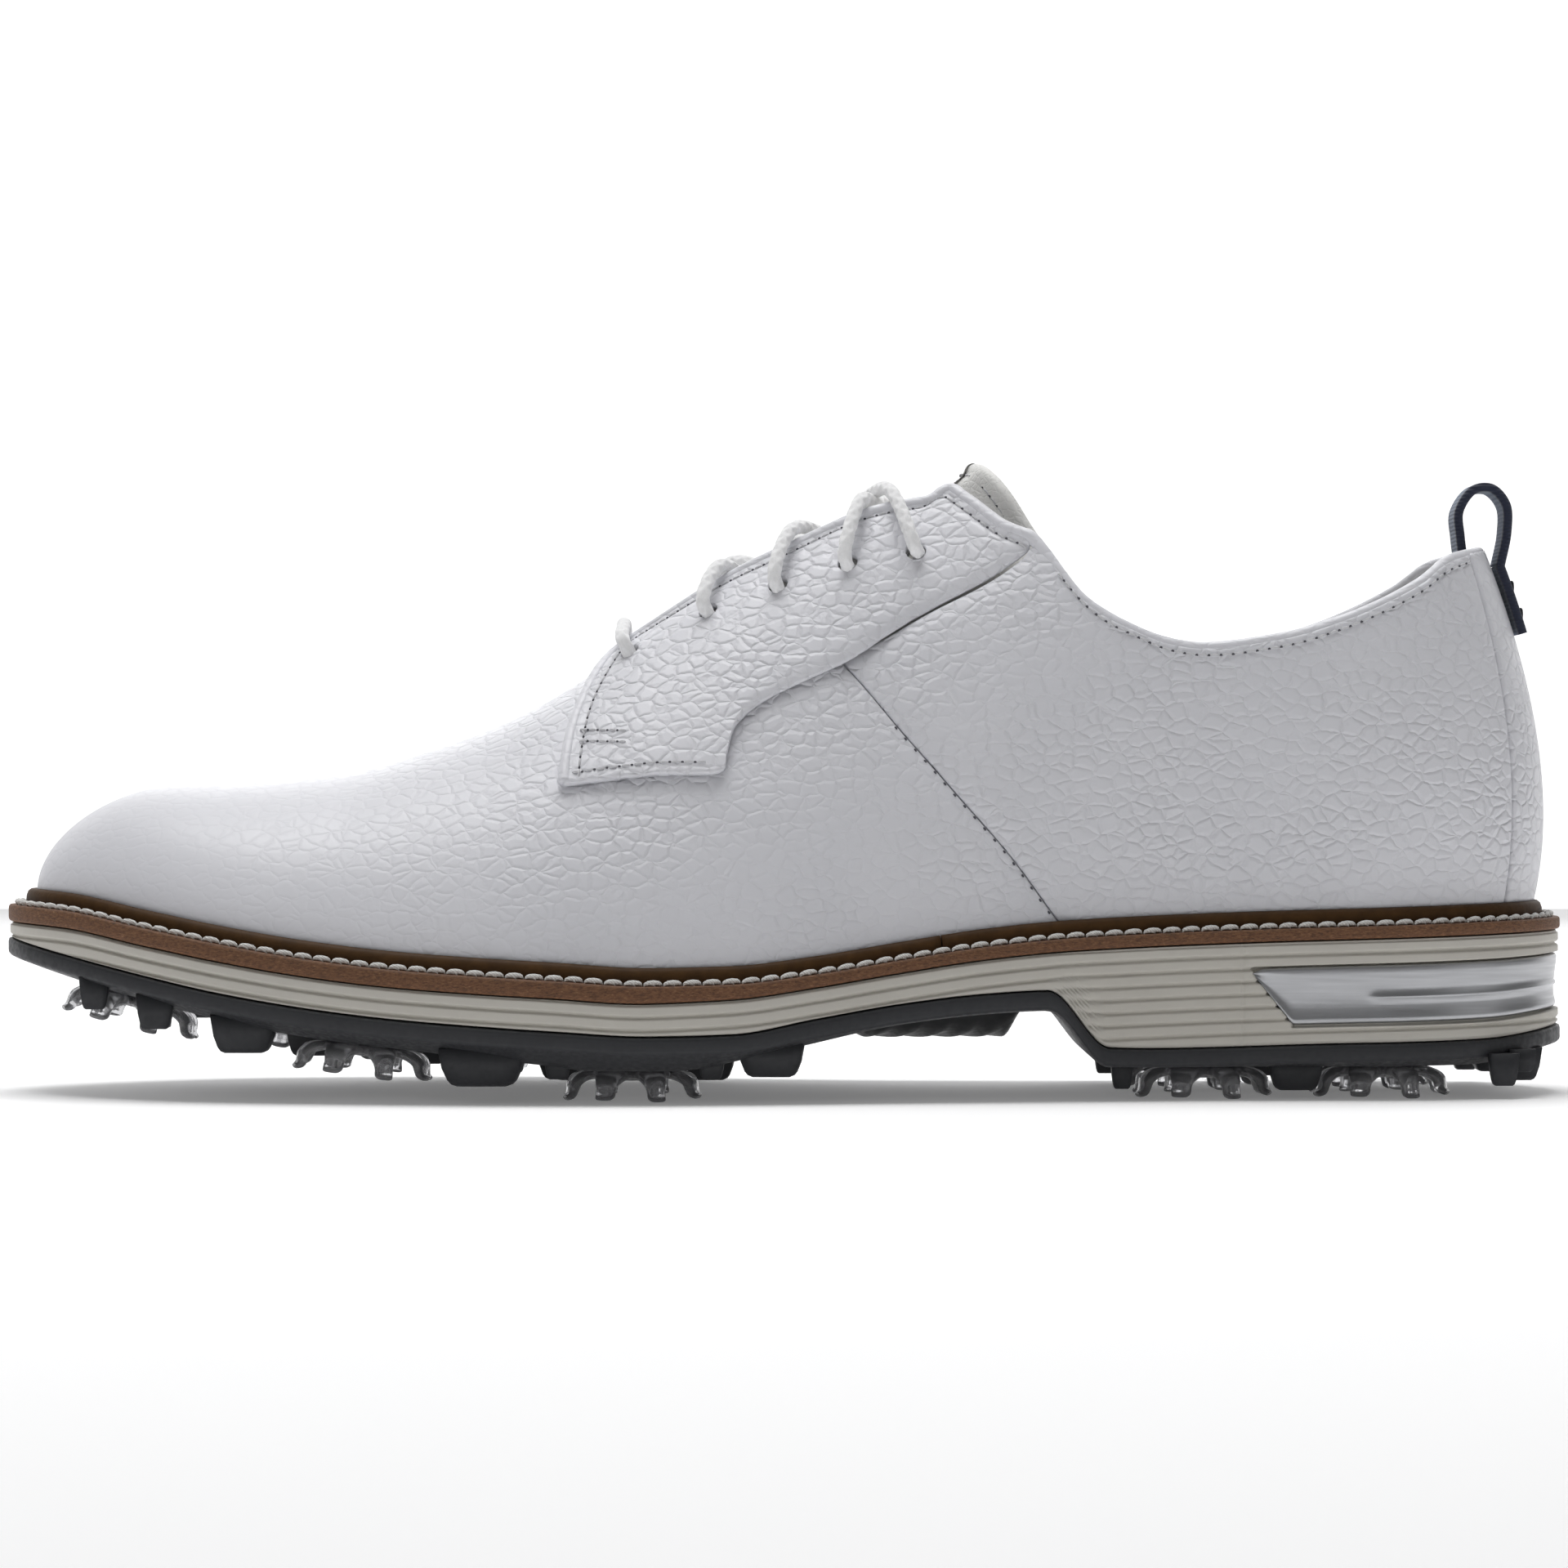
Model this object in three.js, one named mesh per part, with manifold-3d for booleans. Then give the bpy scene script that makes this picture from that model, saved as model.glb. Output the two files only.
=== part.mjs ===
// A spiked leather golf shoe for the left foot, as separate pieces in one assembly.
// Millimetres, +Z up. The toe points to -X, the lateral side faces -Y, and the cleats stand on Z = 0.
import * as THREE from "three";
import { mergeVertices } from "three/addons/utils/BufferGeometryUtils.js";
import Module from "manifold-3d";

const wasm = await Module();
wasm.setup();

// ---------------------------------------------------------------- driving dimensions

const clearance = 0.3; // running gap between pieces that touch
const layerGap = 0.55; // gap between curved layers of the upper
const soleLength = 305; // outsole, toe to heel
const ballWidth = 107; // outsole across the ball
const heelWidth = 75; // outsole across the heel

const toeBoxTop = 60.3; // height of the toe box crown
const instepTop = 120.5; // height of the instep at the fourth eyelet
const ankleDome = 150; // height at which the ankle walls would meet if they closed
const collarBackShare = 0.628; // collar height at the heel, as a share of the ankle dome

const leather = 1.6; // upper leather
const facingLeather = 1.4; // the lace facing laid over it
const liningLeather = 1.0; // glove lining
const counterBoard = 1.4; // heel counter
const puffSheet = 1.2; // toe puff
const collarFoam = 5.0; // padding under the collar lining
const tongueFoam = 3.4; // padding in the tongue

const outsoleLip = 3.4; // outsole edge
const weltFront = 3.2; // welt round the forefoot
const weltBack = 2.3; // welt through waist and heel
const featherInset = 5.8; // the upper stands this far inside the welt edge
const randHeight = 2.0;
const randWidth = 1.4;
const threadWidth = 1.1; // welt stitch
const threadInset = 2.0;
const boardThickness = 1.3; // insole board
const footbedThickness = 4.2;
const shankWidth = 15;
const shankThickness = 1.2;
const panelThickness = 1.0; // heel panel let into the midsole wall
const panelRecess = 2; // depth of its seat

const laceDiameter = 2.8;
const tongueDepth = laceDiameter + 3.6; // tongue below the lasted surface, under the lace
const eyeletHole = 4.0;
const eyeletInset = 7.4; // eyelet from the facing edge
const eyeletPlaces = [0.4, 0.452, 0.498, 0.544, 0.588]; // stations of the five eyelets

const bindingDiameter = 2.6; // rolled collar binding
const loopWidth = 11; // pull loop webbing
const loopThickness = 1.9;
const loopRise = 13.5; // top of the pull loop above the collar

const cleatDiameter = 29;
const cleatHeight = 6.2; // hub face to the tips
const cleatLegs = 8;
const hubDiameter = 17;
const hubThickness = 1.7;
const studDiameter = 8.4;
const studLength = 2.0;
const socketDiameter = 15;
const socketHeight = 2.5;

const toeX = -soleLength / 2;

// ---------------------------------------------------------------- curves by station
// A station runs from 0 at the toe to 1 at the heel. Each curve is smooth through its [station, value] pairs.

function curve(points) {
  const rise = points.slice(1).map((p, i) => (p[1] - points[i][1]) / (p[0] - points[i][0]));
  const slope = points.map((_, i) => {
    if (i === 0) return rise[0];
    if (i === points.length - 1) return rise[i - 1];
    return rise[i - 1] * rise[i] <= 0 ? 0 : (2 * rise[i - 1] * rise[i]) / (rise[i - 1] + rise[i]);
  });
  return (s) => {
    if (s <= points[0][0]) return points[0][1];
    if (s >= points.at(-1)[0]) return points.at(-1)[1];
    const i = points.findIndex((p) => p[0] > s) - 1;
    const run = points[i + 1][0] - points[i][0];
    const f = (s - points[i][0]) / run;
    const g = 1 - f;
    return (
      points[i][1] * (1 + 2 * f) * g * g +
      slope[i] * run * f * g * g +
      points[i + 1][1] * (3 - 2 * f) * f * f -
      slope[i + 1] * run * f * f * g
    );
  };
}
const lerp = THREE.MathUtils.lerp;
const ease = THREE.MathUtils.smoothstep;

// plan: share of the width on each side of the centre line
const lateralShare = curve([
  [0, 0.335], [0.05, 0.36], [0.1, 0.395], [0.16, 0.432], [0.25, 0.485], [0.34, 0.517],
  [0.4, 0.517], [0.47, 0.497], [0.56, 0.475], [0.65, 0.49], [0.75, 0.505], [0.88, 0.5], [1, 0.48],
]);
const medialShare = curve([
  [0, 0.355], [0.05, 0.385], [0.1, 0.42], [0.16, 0.45], [0.25, 0.478], [0.33, 0.48],
  [0.4, 0.452], [0.48, 0.405], [0.56, 0.385], [0.65, 0.415], [0.75, 0.46], [0.88, 0.5], [1, 0.48],
]);
const toeRound = 0.165; // share of the length over which the toe rounds off
const heelRound = 0.125;

// side view: heights of the sole layers
const weltTop = curve([
  [0, 36.8], [0.045, 35.9], [0.1, 32.8], [0.15, 29.9], [0.2, 27.4], [0.256, 25.4], [0.31, 24.2],
  [0.36, 23.3], [0.414, 22.3], [0.467, 22.6], [0.52, 24.4], [0.573, 27], [0.625, 29.4],
  [0.68, 31], [0.78, 32.4], [0.89, 33.4], [1, 34.4],
]);
const lipBottom = curve([
  [0, 27], [0.03, 24.9], [0.098, 20.3], [0.15, 17], [0.203, 14.4], [0.256, 12.5], [0.31, 11.2],
  [0.36, 10.2], [0.414, 9.3], [0.467, 9.6], [0.52, 12.4], [0.573, 15.1], [0.625, 16.9], [0.664, 17.5],
  [0.703, 6.6], [0.73, 6.4], [0.84, 7.2], [0.94, 7.9], [1, 10],
]);
const belly = curve([
  [0, 26], [0.03, 24], [0.08, 20.2], [0.15, 15.2], [0.2, 12.4], [0.256, 10.4], [0.31, 8.6], [0.36, 7],
  [0.38, cleatHeight], [0.43, cleatHeight], [0.5, 10], [0.573, 14.6], [0.625, 16.4], [0.664, 17],
  [0.703, cleatHeight], [0.93, cleatHeight], [1, 9.4],
]);
const weltThickness = (s) => lerp(weltFront, weltBack, ease(s, 0.38, 0.55));
const weltBottom = (s) => weltTop(s) - weltThickness(s);
const outsoleTop = (s) => lipBottom(s) + outsoleLip;
const stationOf = (x) => (x - toeX) / soleLength;
const sole = (height) => (x) => height(stationOf(x));

// the point of the sole outline at share f of the way, set in by an inset
function outline(side, f, inset) {
  const share = side < 0 ? lateralShare(f) : medialShare(f);
  const width = lerp(ballWidth, heelWidth, ease(f, 0.45, 0.8));
  const toe = 1 - Math.max(0, 1 - f / toeRound) ** 2;
  const heel = 1 - Math.max(0, 1 - (1 - f) / heelRound) ** 2;
  return [toeX + inset + f * (soleLength - 2 * inset), side * (width * share - inset) * Math.sqrt(toe * heel)];
}

// ---------------------------------------------------------------- the outside of the upper
// Each profile climbs from the feather line (v = 0) to the ridge over the foot (v = 1) as one cubic.

const ridgeTop = curve([
  [0, toeBoxTop - 0.3], [0.1, toeBoxTop], [0.2, toeBoxTop + 2.2], [0.256, toeBoxTop + 6.4],
  [0.31, toeBoxTop + 12], [0.36, toeBoxTop + 19.8], [0.414, instepTop - 29.5], [0.467, instepTop - 18.6],
  [0.52, instepTop - 9], [0.573, instepTop], [0.6, instepTop + 3.6], [0.625, instepTop + 7.5],
  [0.66, lerp(instepTop, ankleDome, 0.5)], [0.7, lerp(instepTop, ankleDome, 0.82)], [0.74, ankleDome],
  [1, ankleDome],
]);
const wallRise = curve([[0, 12], [0.1, 13], [0.2, 15], [0.33, 20], [0.45, 30], [0.55, 36], [0.65, 34], [0.75, 28], [1, 27]]);
const wallBulge = curve([[0, 2.5], [0.1, 2], [0.3, 1.5], [0.5, 1], [0.6, 0.6], [0.7, 1], [0.85, 3], [1, 8]]);
const shoulder = curve([
  [0, 14], [0.1, 22], [0.2, 26], [0.33, 27], [0.45, 19], [0.52, 16], [0.58, 18], [0.65, 28],
  [0.72, 36], [0.9, 36], [1, 28],
]);
const shoulderDrop = curve([[0, 0], [0.52, 0], [0.58, 3], [0.65, 20], [0.72, 42], [0.8, 48], [1, 50]]);
const toeFan = 28; // how far back the ridge starts from the toe
const heelFan = 30;

function last(side, s, v) {
  const [x, y] = outline(side, s, featherInset);
  const toToe = x - (toeX + featherInset);
  const toHeel = -(toeX + featherInset) - x;
  const ridgeX = x + toeFan * Math.exp(-toToe / toeFan) - heelFan * Math.exp(-toHeel / heelFan);
  const foot = new THREE.Vector3(x, y, sole(weltTop)(x) + clearance);
  const ridge = new THREE.Vector3(ridgeX, 0, ridgeTop(s));
  const out = new THREE.Vector3(x - ridgeX, y, 0).normalize();
  const low = foot.clone().addScaledVector(out, wallBulge(s));
  low.z += wallRise(s);
  const high = ridge.clone().addScaledVector(out, shoulder(s));
  high.z -= shoulderDrop(s);
  return new THREE.CubicBezierCurve3(foot, low, high, ridge).getPoint(v);
}

// the point at an offset outside (+) or inside (-) that surface
function skin(side, s, v, offset) {
  const step = 0.004;
  const s0 = Math.max(0, s - step);
  const s1 = Math.min(1, s + step);
  const v0 = Math.max(0, v - step);
  const v1 = Math.min(1, v + step);
  const along = last(side, s1, v).sub(last(side, s0, v));
  const up = last(side, s, v1).sub(last(side, s, v0));
  const normal = along.cross(up).multiplyScalar(-side);
  if (s === 0 || s === 1) {
    normal.crossVectors(up, new THREE.Vector3(0, s === 0 ? 1 : -1, 0));
    normal.y = 0;
  }
  if (v === 1 && ridgeTop(s) < ankleDome) normal.y = 0;
  return last(side, s, v).addScaledVector(normal.normalize(), offset);
}

// v at which a profile passes a test value that grows from feather to ridge
function solve(value, target) {
  let low = 0;
  let high = 1;
  for (let i = 0; i < 30; i++) {
    const middle = (low + high) / 2;
    if (value(middle) < target) low = middle;
    else high = middle;
  }
  return (low + high) / 2;
}
// a height share: 0 at the feather line, 1 at the ridge
function atHeight(side, s, share) {
  if (share <= 0) return 0;
  if (share >= 1) return 1;
  const base = last(side, s, 0).z;
  return solve((v) => last(side, s, v).z, lerp(base, ridgeTop(s), share));
}
// a distance from the middle of the foot
const atDistance = (side, s, distance) => solve((v) => -Math.abs(last(side, s, v).y), -distance);

// ---------------------------------------------------------------- seams, as [station, height share]

const vampSeam = [[0.686, 0], [0.647, 0.161], [0.6075, 0.325], [0.575, 0.47], [0.5414, 0.638],
  [0.528, 0.7], [0.49, 0.74], [0.412, 0.79], [0.388, 0.86], [0.382, 1]];
const facingLow = [[0.357, 0.64], [0.412, 0.57], [0.459, 0.506], [0.463, 0.545], [0.47, 0.61], [0.486, 0.636],
  [0.5414, 0.645], [0.569, 0.668], [0.6065, 0.697], [0.657, 0.712], [0.672, 0.668]];
const collarLine = curve([
  [0.657, 0.712], [0.672, 0.668], [0.7, 0.567], [0.725, 0.507], [0.751, 0.475], [0.776, 0.465],
  [0.83, 0.48], [0.87, 0.508], [0.9, 0.537], [0.93, 0.572], [0.96, 0.612], [1, collarBackShare],
]);
const facingGap = curve([[0.385, 4.6], [0.45, 6.5], [0.52, 9], [0.6, 11]]);
const facingTopEnd = 0.598; // where the facing edge turns down the collar
const facingCorner = [[0.61, 0.925], [0.622, 0.885], [0.647, 0.785], [0.664, 0.735]];
const backstayFront = 0.974;

// how far the facing stands on the vamp: on top of it at the tab, level with the quarter behind
const facingInner = (s) => lerp(layerGap, -leather + 0.3, ease(s, 0.545, 0.6));

const toV = (side, points) => points.map(([s, share]) => [s, atHeight(side, s, share)]);

// a smooth path through [station, v] points
function path(points) {
  const line = new THREE.CatmullRomCurve3(points.map(([s, v]) => new THREE.Vector3(s, v, 0)), false, "centripetal");
  return (f) => {
    const p = line.getPointAt(f);
    return [p.x, Math.min(1, Math.max(0, p.y))];
  };
}

// ---------------------------------------------------------------- closed meshes

class Skin {
  constructor() {
    this.corners = [];
  }
  triangle(a, b, c) {
    this.corners.push(a, b, c);
  }
  quad(a, b, c, d) {
    this.triangle(a, b, c);
    this.triangle(a, c, d);
  }
  // welds the corners, drops flat triangles and turns the faces outwards
  geometry() {
    const raw = new THREE.BufferGeometry().setFromPoints(this.corners);
    const welded = mergeVertices(raw, 1e-3);
    const at = welded.index.array;
    const kept = [];
    for (let i = 0; i < at.length; i += 3) {
      const [a, b, c] = [at[i], at[i + 1], at[i + 2]];
      if (a !== b && b !== c && c !== a) kept.push(a, b, c);
    }
    const p = (i) => new THREE.Vector3().fromBufferAttribute(welded.attributes.position, i);
    let volume = 0;
    for (let i = 0; i < kept.length; i += 3) volume += p(kept[i]).dot(p(kept[i + 1]).cross(p(kept[i + 2])));
    if (volume < 0) kept.reverse();
    welded.setIndex(kept);
    return welded;
  }
}

// a shell between two grids of points; an open first or last row closes on itself
function shell(rows, columns, point, { foldStart = false, foldEnd = false } = {}) {
  const made = new Skin();
  const grid = (face) =>
    Array.from({ length: rows + 1 }, (_, i) =>
      Array.from({ length: columns + 1 }, (_, j) => point(i / rows, j / columns, face)));
  const outer = grid(0);
  const inner = grid(1);
  for (let i = 0; i < rows; i++) {
    for (let j = 0; j < columns; j++) {
      made.quad(outer[i][j], outer[i + 1][j], outer[i + 1][j + 1], outer[i][j + 1]);
      made.quad(inner[i][j], inner[i][j + 1], inner[i + 1][j + 1], inner[i + 1][j]);
    }
    made.quad(outer[i][0], inner[i][0], inner[i + 1][0], outer[i + 1][0]);
    made.quad(outer[i][columns], outer[i + 1][columns], inner[i + 1][columns], inner[i][columns]);
  }
  for (let j = 0; j < columns; j++) {
    if (!foldStart) made.quad(outer[0][j], outer[0][j + 1], inner[0][j + 1], inner[0][j]);
    if (!foldEnd) made.quad(outer[rows][j], inner[rows][j], inner[rows][j + 1], outer[rows][j + 1]);
  }
  return made.geometry();
}

// a bar through a run of equal cross sections; each is a closed, convex ring of points
function sweep(sections, closed = false) {
  const made = new Skin();
  const ring = sections[0].length;
  const last = closed ? sections.length : sections.length - 1;
  for (let i = 0; i < last; i++) {
    const a = sections[i];
    const b = sections[(i + 1) % sections.length];
    for (let j = 0; j < ring; j++) {
      const k = (j + 1) % ring;
      made.quad(a[j], a[k], b[k], b[j]);
    }
  }
  if (!closed) {
    const end = sections.at(-1);
    for (let j = 1; j < ring - 1; j++) {
      made.triangle(sections[0][0], sections[0][j + 1], sections[0][j]);
      made.triangle(end[0], end[j], end[j + 1]);
    }
  }
  return made.geometry();
}

function toSolid(geometry) {
  const bare = new THREE.BufferGeometry().setAttribute("position", geometry.getAttribute("position").clone());
  if (geometry.index) bare.setIndex(geometry.index.clone());
  const welded = mergeVertices(bare, 1e-4);
  const vertProperties = new Float32Array(welded.attributes.position.array);
  const triVerts = new Uint32Array(welded.index.array);
  return new wasm.Manifold(new wasm.Mesh({ numProp: 3, vertProperties, triVerts }));
}
function toGeometry(solid) {
  const mesh = solid.getMesh();
  return new THREE.BufferGeometry()
    .setAttribute("position", new THREE.BufferAttribute(mesh.vertProperties, 3))
    .setIndex(new THREE.BufferAttribute(mesh.triVerts, 1));
}
function cut(geometry, cutters) {
  return toGeometry(cutters.reduce((left, cutter) => left.subtract(toSolid(cutter)), toSolid(geometry)));
}
function join(geometries) {
  return toGeometry(geometries.map(toSolid).reduce((a, b) => a.add(b)));
}

// ---------------------------------------------------------------- materials

const finish = (color, roughness, metalness = 0) => new THREE.MeshStandardMaterial({ color, roughness, metalness });
const whiteLeather = finish("#e4e6e8", 0.42);
const lining = finish("#d9d6cf", 0.8);
const rubber = finish("#2c2f31", 0.55);
const stone = finish("#bdb8ae", 0.6);
const weltBrown = finish("#8a6f5c", 0.7);
const randBrown = finish("#4c3b33", 0.65);
const thread = finish("#efece4", 0.8);
const board = finish("#b89a72", 0.85);
const cork = finish("#9b7b52", 0.9);
const steel = finish("#8d9296", 0.35, 1);
const satin = finish("#c3c5c6", 0.35, 0.6);
const clear = finish("#a9a6a2", 0.2);
const black = finish("#17181a", 0.5);
const cotton = finish("#f2f2f0", 0.85);
const webbing = finish("#5b6b85", 0.8);
const foam = finish("#e8dfb8", 0.9);

const shoe = new THREE.Group();
function add(name, geometry, material) {
  const mesh = new THREE.Mesh(geometry, material);
  mesh.name = name;
  shoe.add(mesh);
  return mesh;
}
const hands = [["lateral", -1], ["medial", 1]];

// ---------------------------------------------------------------- sole

// stations of the sole: close together at the round ends and at the heel breast
const endSteps = 20;
const soleStations = Array.from({ length: endSteps + 1 }, (_, i) => (1 - Math.cos((Math.PI * i) / endSteps)) / 2)
  .concat([0.664, 0.684, 0.703])
  .sort((a, b) => a - b);

// the closed outline at one level, from the toe down the lateral side and back up the medial
function outlineRing(inset, height) {
  const at = (side, f) => {
    const depth = typeof inset === "function" ? inset(f) : inset;
    const [x, y] = outline(side, f, depth);
    return new THREE.Vector3(x, y, height(stationOf(x)));
  };
  const lateral = soleStations.map((f) => at(-1, f));
  const medial = soleStations.slice(1, -1).map((f) => at(1, f)).reverse();
  return [...lateral, ...medial];
}
// a solid through levels from bottom to top, closed straight across
function slab(levels) {
  const made = new Skin();
  const rings = levels.map(([inset, height]) => outlineRing(inset, height));
  const count = rings[0].length;
  for (let k = 0; k < rings.length - 1; k++) {
    for (let j = 0; j < count; j++) {
      const n = (j + 1) % count;
      made.quad(rings[k][j], rings[k][n], rings[k + 1][n], rings[k + 1][j]);
    }
  }
  const across = (ring, turn) => {
    const other = (j) => ring[(count - j) % count];
    for (let j = 0; j < soleStations.length - 1; j++) {
      const q = [ring[j], other(j), other(j + 1), ring[j + 1]];
      if (turn) q.reverse();
      made.quad(...q);
    }
  };
  across(rings[0], false);
  across(rings.at(-1), true);
  return made.geometry();
}
// a ring that follows the outline, its section given as [inset, height] corners
function ringSweep(corners) {
  const rings = corners.map(([inset, height]) => outlineRing(inset, height));
  return sweep(rings[0].map((_, j) => rings.map((ring) => ring[j])), true);
}
// part of such a ring: round the toe or round the heel, from station `from` on both sides
function partRing(corners, from, end) {
  const kept = soleStations.filter((f) => (end === "toe" ? f < from - 0.004 : f > from + 0.004)).concat([from]);
  const half = kept.sort((a, b) => (end === "toe" ? a - b : b - a));
  const places = [...half.slice(1).reverse().map((f) => [-1, f]), ...half.map((f) => [1, f])];
  return sweep(places.map(([side, f]) =>
    corners.map(([inset, height]) => {
      const [x, y] = outline(side, f, inset);
      return new THREE.Vector3(x, y, height(stationOf(x)));
    })));
}

// cleat seats: [name, station, distance from the middle line, side]
const cleatPlaces = [
  ["toe_lateral", 0.088, 15, -1], ["front_lateral", 0.238, 33, -1], ["ball_lateral", 0.405, 31, -1],
  ["front_medial", 0.19, 24, 1], ["ball_medial", 0.34, 30, 1],
  ["heel_front_lateral", 0.765, 20, -1], ["heel_back_lateral", 0.878, 18, -1],
  ["heel_front_medial", 0.765, 19, 1], ["heel_back_medial", 0.878, 18, 1],
];
function seatOf([, s, distance, side]) {
  const step = 0.02;
  const slope = (belly(s + step) - belly(s - step)) / (2 * step * soleLength);
  return { at: new THREE.Vector3(toeX + s * soleLength, side * distance, belly(s)), tilt: -Math.atan(slope) };
}
// a round plug along the cleat axis, z measured up from the seat
function plug(diameter, bottom, top, sides) {
  const made = new THREE.CylinderGeometry(diameter / 2, diameter / 2, top - bottom, sides);
  return made.rotateX(Math.PI / 2).translate(0, 0, (top + bottom) / 2);
}
const onSeat = (geometry, seat) => geometry.clone().rotateY(seat.tilt).translate(...seat.at);

// wedge lugs along the rim: stations on each side, clear of the cleats
const lugPlaces = [[-1, 0.155], [-1, 0.315], [-1, 0.495], [1, 0.11], [1, 0.265], [1, 0.43],
  [-1, 0.822], [1, 0.822]];
const lugLength = 9;
const lugWidth = 6;
const lugTaper = 0.6;
const lugRoot = 2; // lug body sunk in the outsole
function lug(side, s) {
  const rim = side < 0 ? lateralShare(s) : medialShare(s);
  const width = lerp(ballWidth, heelWidth, ease(s, 0.45, 0.8)) * rim * Math.min(1, Math.sqrt(1 - Math.max(0, 1 - s / toeRound) ** 2));
  const bottom = Math.max(1.2, belly(s) - 4.2);
  const top = belly(s) + lugRoot;
  const made = new THREE.CylinderGeometry(Math.SQRT1_2, Math.SQRT1_2 * lugTaper, top - bottom, 4).rotateY(Math.PI / 4);
  made.scale(lugLength, 1, lugWidth).rotateX(Math.PI / 2);
  return made.translate(toeX + s * soleLength, side * (width - 10), (top + bottom) / 2);
}

const bellyInset = 7;
add("outsole", cut(join([
  slab([[bellyInset, belly], [1, lipBottom], [0, (s) => lipBottom(s) + 0.8], [0, outsoleTop]]),
  ...lugPlaces.map(([side, s]) => lug(side, s)),
]), cleatPlaces.map((place) =>
  onSeat(plug(socketDiameter + 2 * clearance, -3, socketHeight + clearance, 16), seatOf(place)))), rubber);

const panelFront = 0.795; // heel panel wraps from here round the back
const seat = (f) => lerp(0.6, panelRecess, ease(f, panelFront - 0.05, panelFront - 0.03));
const midsoleAt = (share) => (s) =>
  lerp(outsoleTop(s) + clearance, weltBottom(s) - clearance, share);
add("midsole", slab([
  [0.6, midsoleAt(0)], [0.6, midsoleAt(0.17)], [seat, midsoleAt(0.2)], [seat, midsoleAt(0.78)],
  [0.6, midsoleAt(0.81)], [0.6, midsoleAt(1)],
]), stone);

const panelOuter = panelRecess - clearance - panelThickness;
add("heel_panel", partRing([
  [panelRecess - clearance, midsoleAt(0.22)], [panelRecess - clearance, midsoleAt(0.76)],
  [panelOuter, midsoleAt(0.76)], [panelOuter + 0.5, midsoleAt(0.42)], [panelOuter, midsoleAt(0.22)],
], panelFront + 0.004, "heel"), satin);

const boardInset = featherInset;
add("welt", ringSweep([
  [boardInset - clearance, weltBottom], [0, weltBottom], [0, weltTop], [boardInset - clearance, weltTop],
]), weltBrown);
const onWelt = (rise) => (s) => weltTop(s) + clearance + rise;
const randInner = featherInset - 0.9;
const randCorners = [
  [randInner, onWelt(0)], [randInner - randWidth, onWelt(0)], [randInner - randWidth, onWelt(randHeight * 0.6)],
  [randInner - randWidth / 2, onWelt(randHeight)], [randInner, onWelt(randHeight)],
];
add("rand_forefoot", partRing(randCorners, 0.385, "toe"), randBrown);
add("rand_heel", partRing(randCorners, 0.83, "heel"), randBrown);
add("welt_thread", ringSweep([
  [threadInset + threadWidth / 2, onWelt(0)], [threadInset - threadWidth / 2, onWelt(0)],
  [threadInset, onWelt(threadWidth * 0.6)],
]), thread);

const boardBottom = (s) => weltTop(s) - boardThickness;
add("insole_board", slab([[boardInset, boardBottom], [boardInset, weltTop]]), board);
// the cork fills the welt cavity under the board, behind it the shank lies from waist to heel
const waist = 0.5;
const fillerTop = (s) => boardBottom(s) - clearance;
const fillerBottom = (s) => weltBottom(s) + clearance;
function inside(from, to, halfWidth, bottom, top) {
  const steps = 12;
  return sweep(Array.from({ length: steps + 1 }, (_, i) => {
    const s = lerp(from, to, i / steps);
    const x = toeX + s * soleLength;
    const y = halfWidth(s);
    return [[-y[0], bottom], [-y[0], top], [y[1], top], [y[1], bottom]].map(([across, height]) =>
      new THREE.Vector3(x, across, height(s)));
  }));
}
const fillerEdge = (s) => [-1, 1].map((side) => {
  const [, y] = outline(side, (s * soleLength - 8) / (soleLength - 16), 8);
  return Math.abs(y);
});
add("cork_filler", inside(0.045, waist, fillerEdge, fillerBottom, fillerTop), cork);
const shankHalf = () => [shankWidth / 2, shankWidth / 2];
const shankBottom = (s) => fillerTop(s) - shankThickness;
add("shank", inside(waist + 0.01, 0.86, shankHalf, (s) => Math.max(shankBottom(s), fillerBottom(s)), fillerTop), steel);
// the black bridge that stiffens the arch under the outsole
const bridgeHalf = (s) => {
  const half = 19 * Math.sqrt(Math.max(0.12, 1 - ((s - 0.59) / 0.085) ** 2));
  return [half, half];
};
add("arch_bridge", inside(0.535, 0.655, bridgeHalf, () => 10.6, (s) => Math.max(10.9, belly(s) - clearance)), black);

const bedInset = featherInset + 6.6;
add("footbed", slab([
  [bedInset + 1, (s) => weltTop(s) + clearance], [bedInset, (s) => weltTop(s) + footbedThickness * 0.5],
  [bedInset + 0.6, (s) => weltTop(s) + footbedThickness],
]), lining);

// ---------------------------------------------------------------- upper

// the vamp wraps over the toe, from feather to feather
function wrapOver(rows, columns, seam, outer, inner) {
  const ends = Object.fromEntries(hands.map(([, side]) => {
    const pairs = toV(side, seam).map(([s, v]) => [v, s]);
    return [side, curve(pairs.sort((a, b) => a[0] - b[0]))];
  }));
  return shell(rows, columns, (a, b, face) => {
    const side = b < 0.5 ? -1 : 1;
    const v = 1 - Math.abs(2 * b - 1);
    const s = ends[side](v) * (1 - Math.cos((a * Math.PI) / 2));
    return skin(side, s, v, face ? inner(s, v) : outer(s, v));
  }, { foldStart: true });
}
add("vamp", wrapOver(12, 22, vampSeam, () => 0, () => -leather), whiteLeather);

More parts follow.
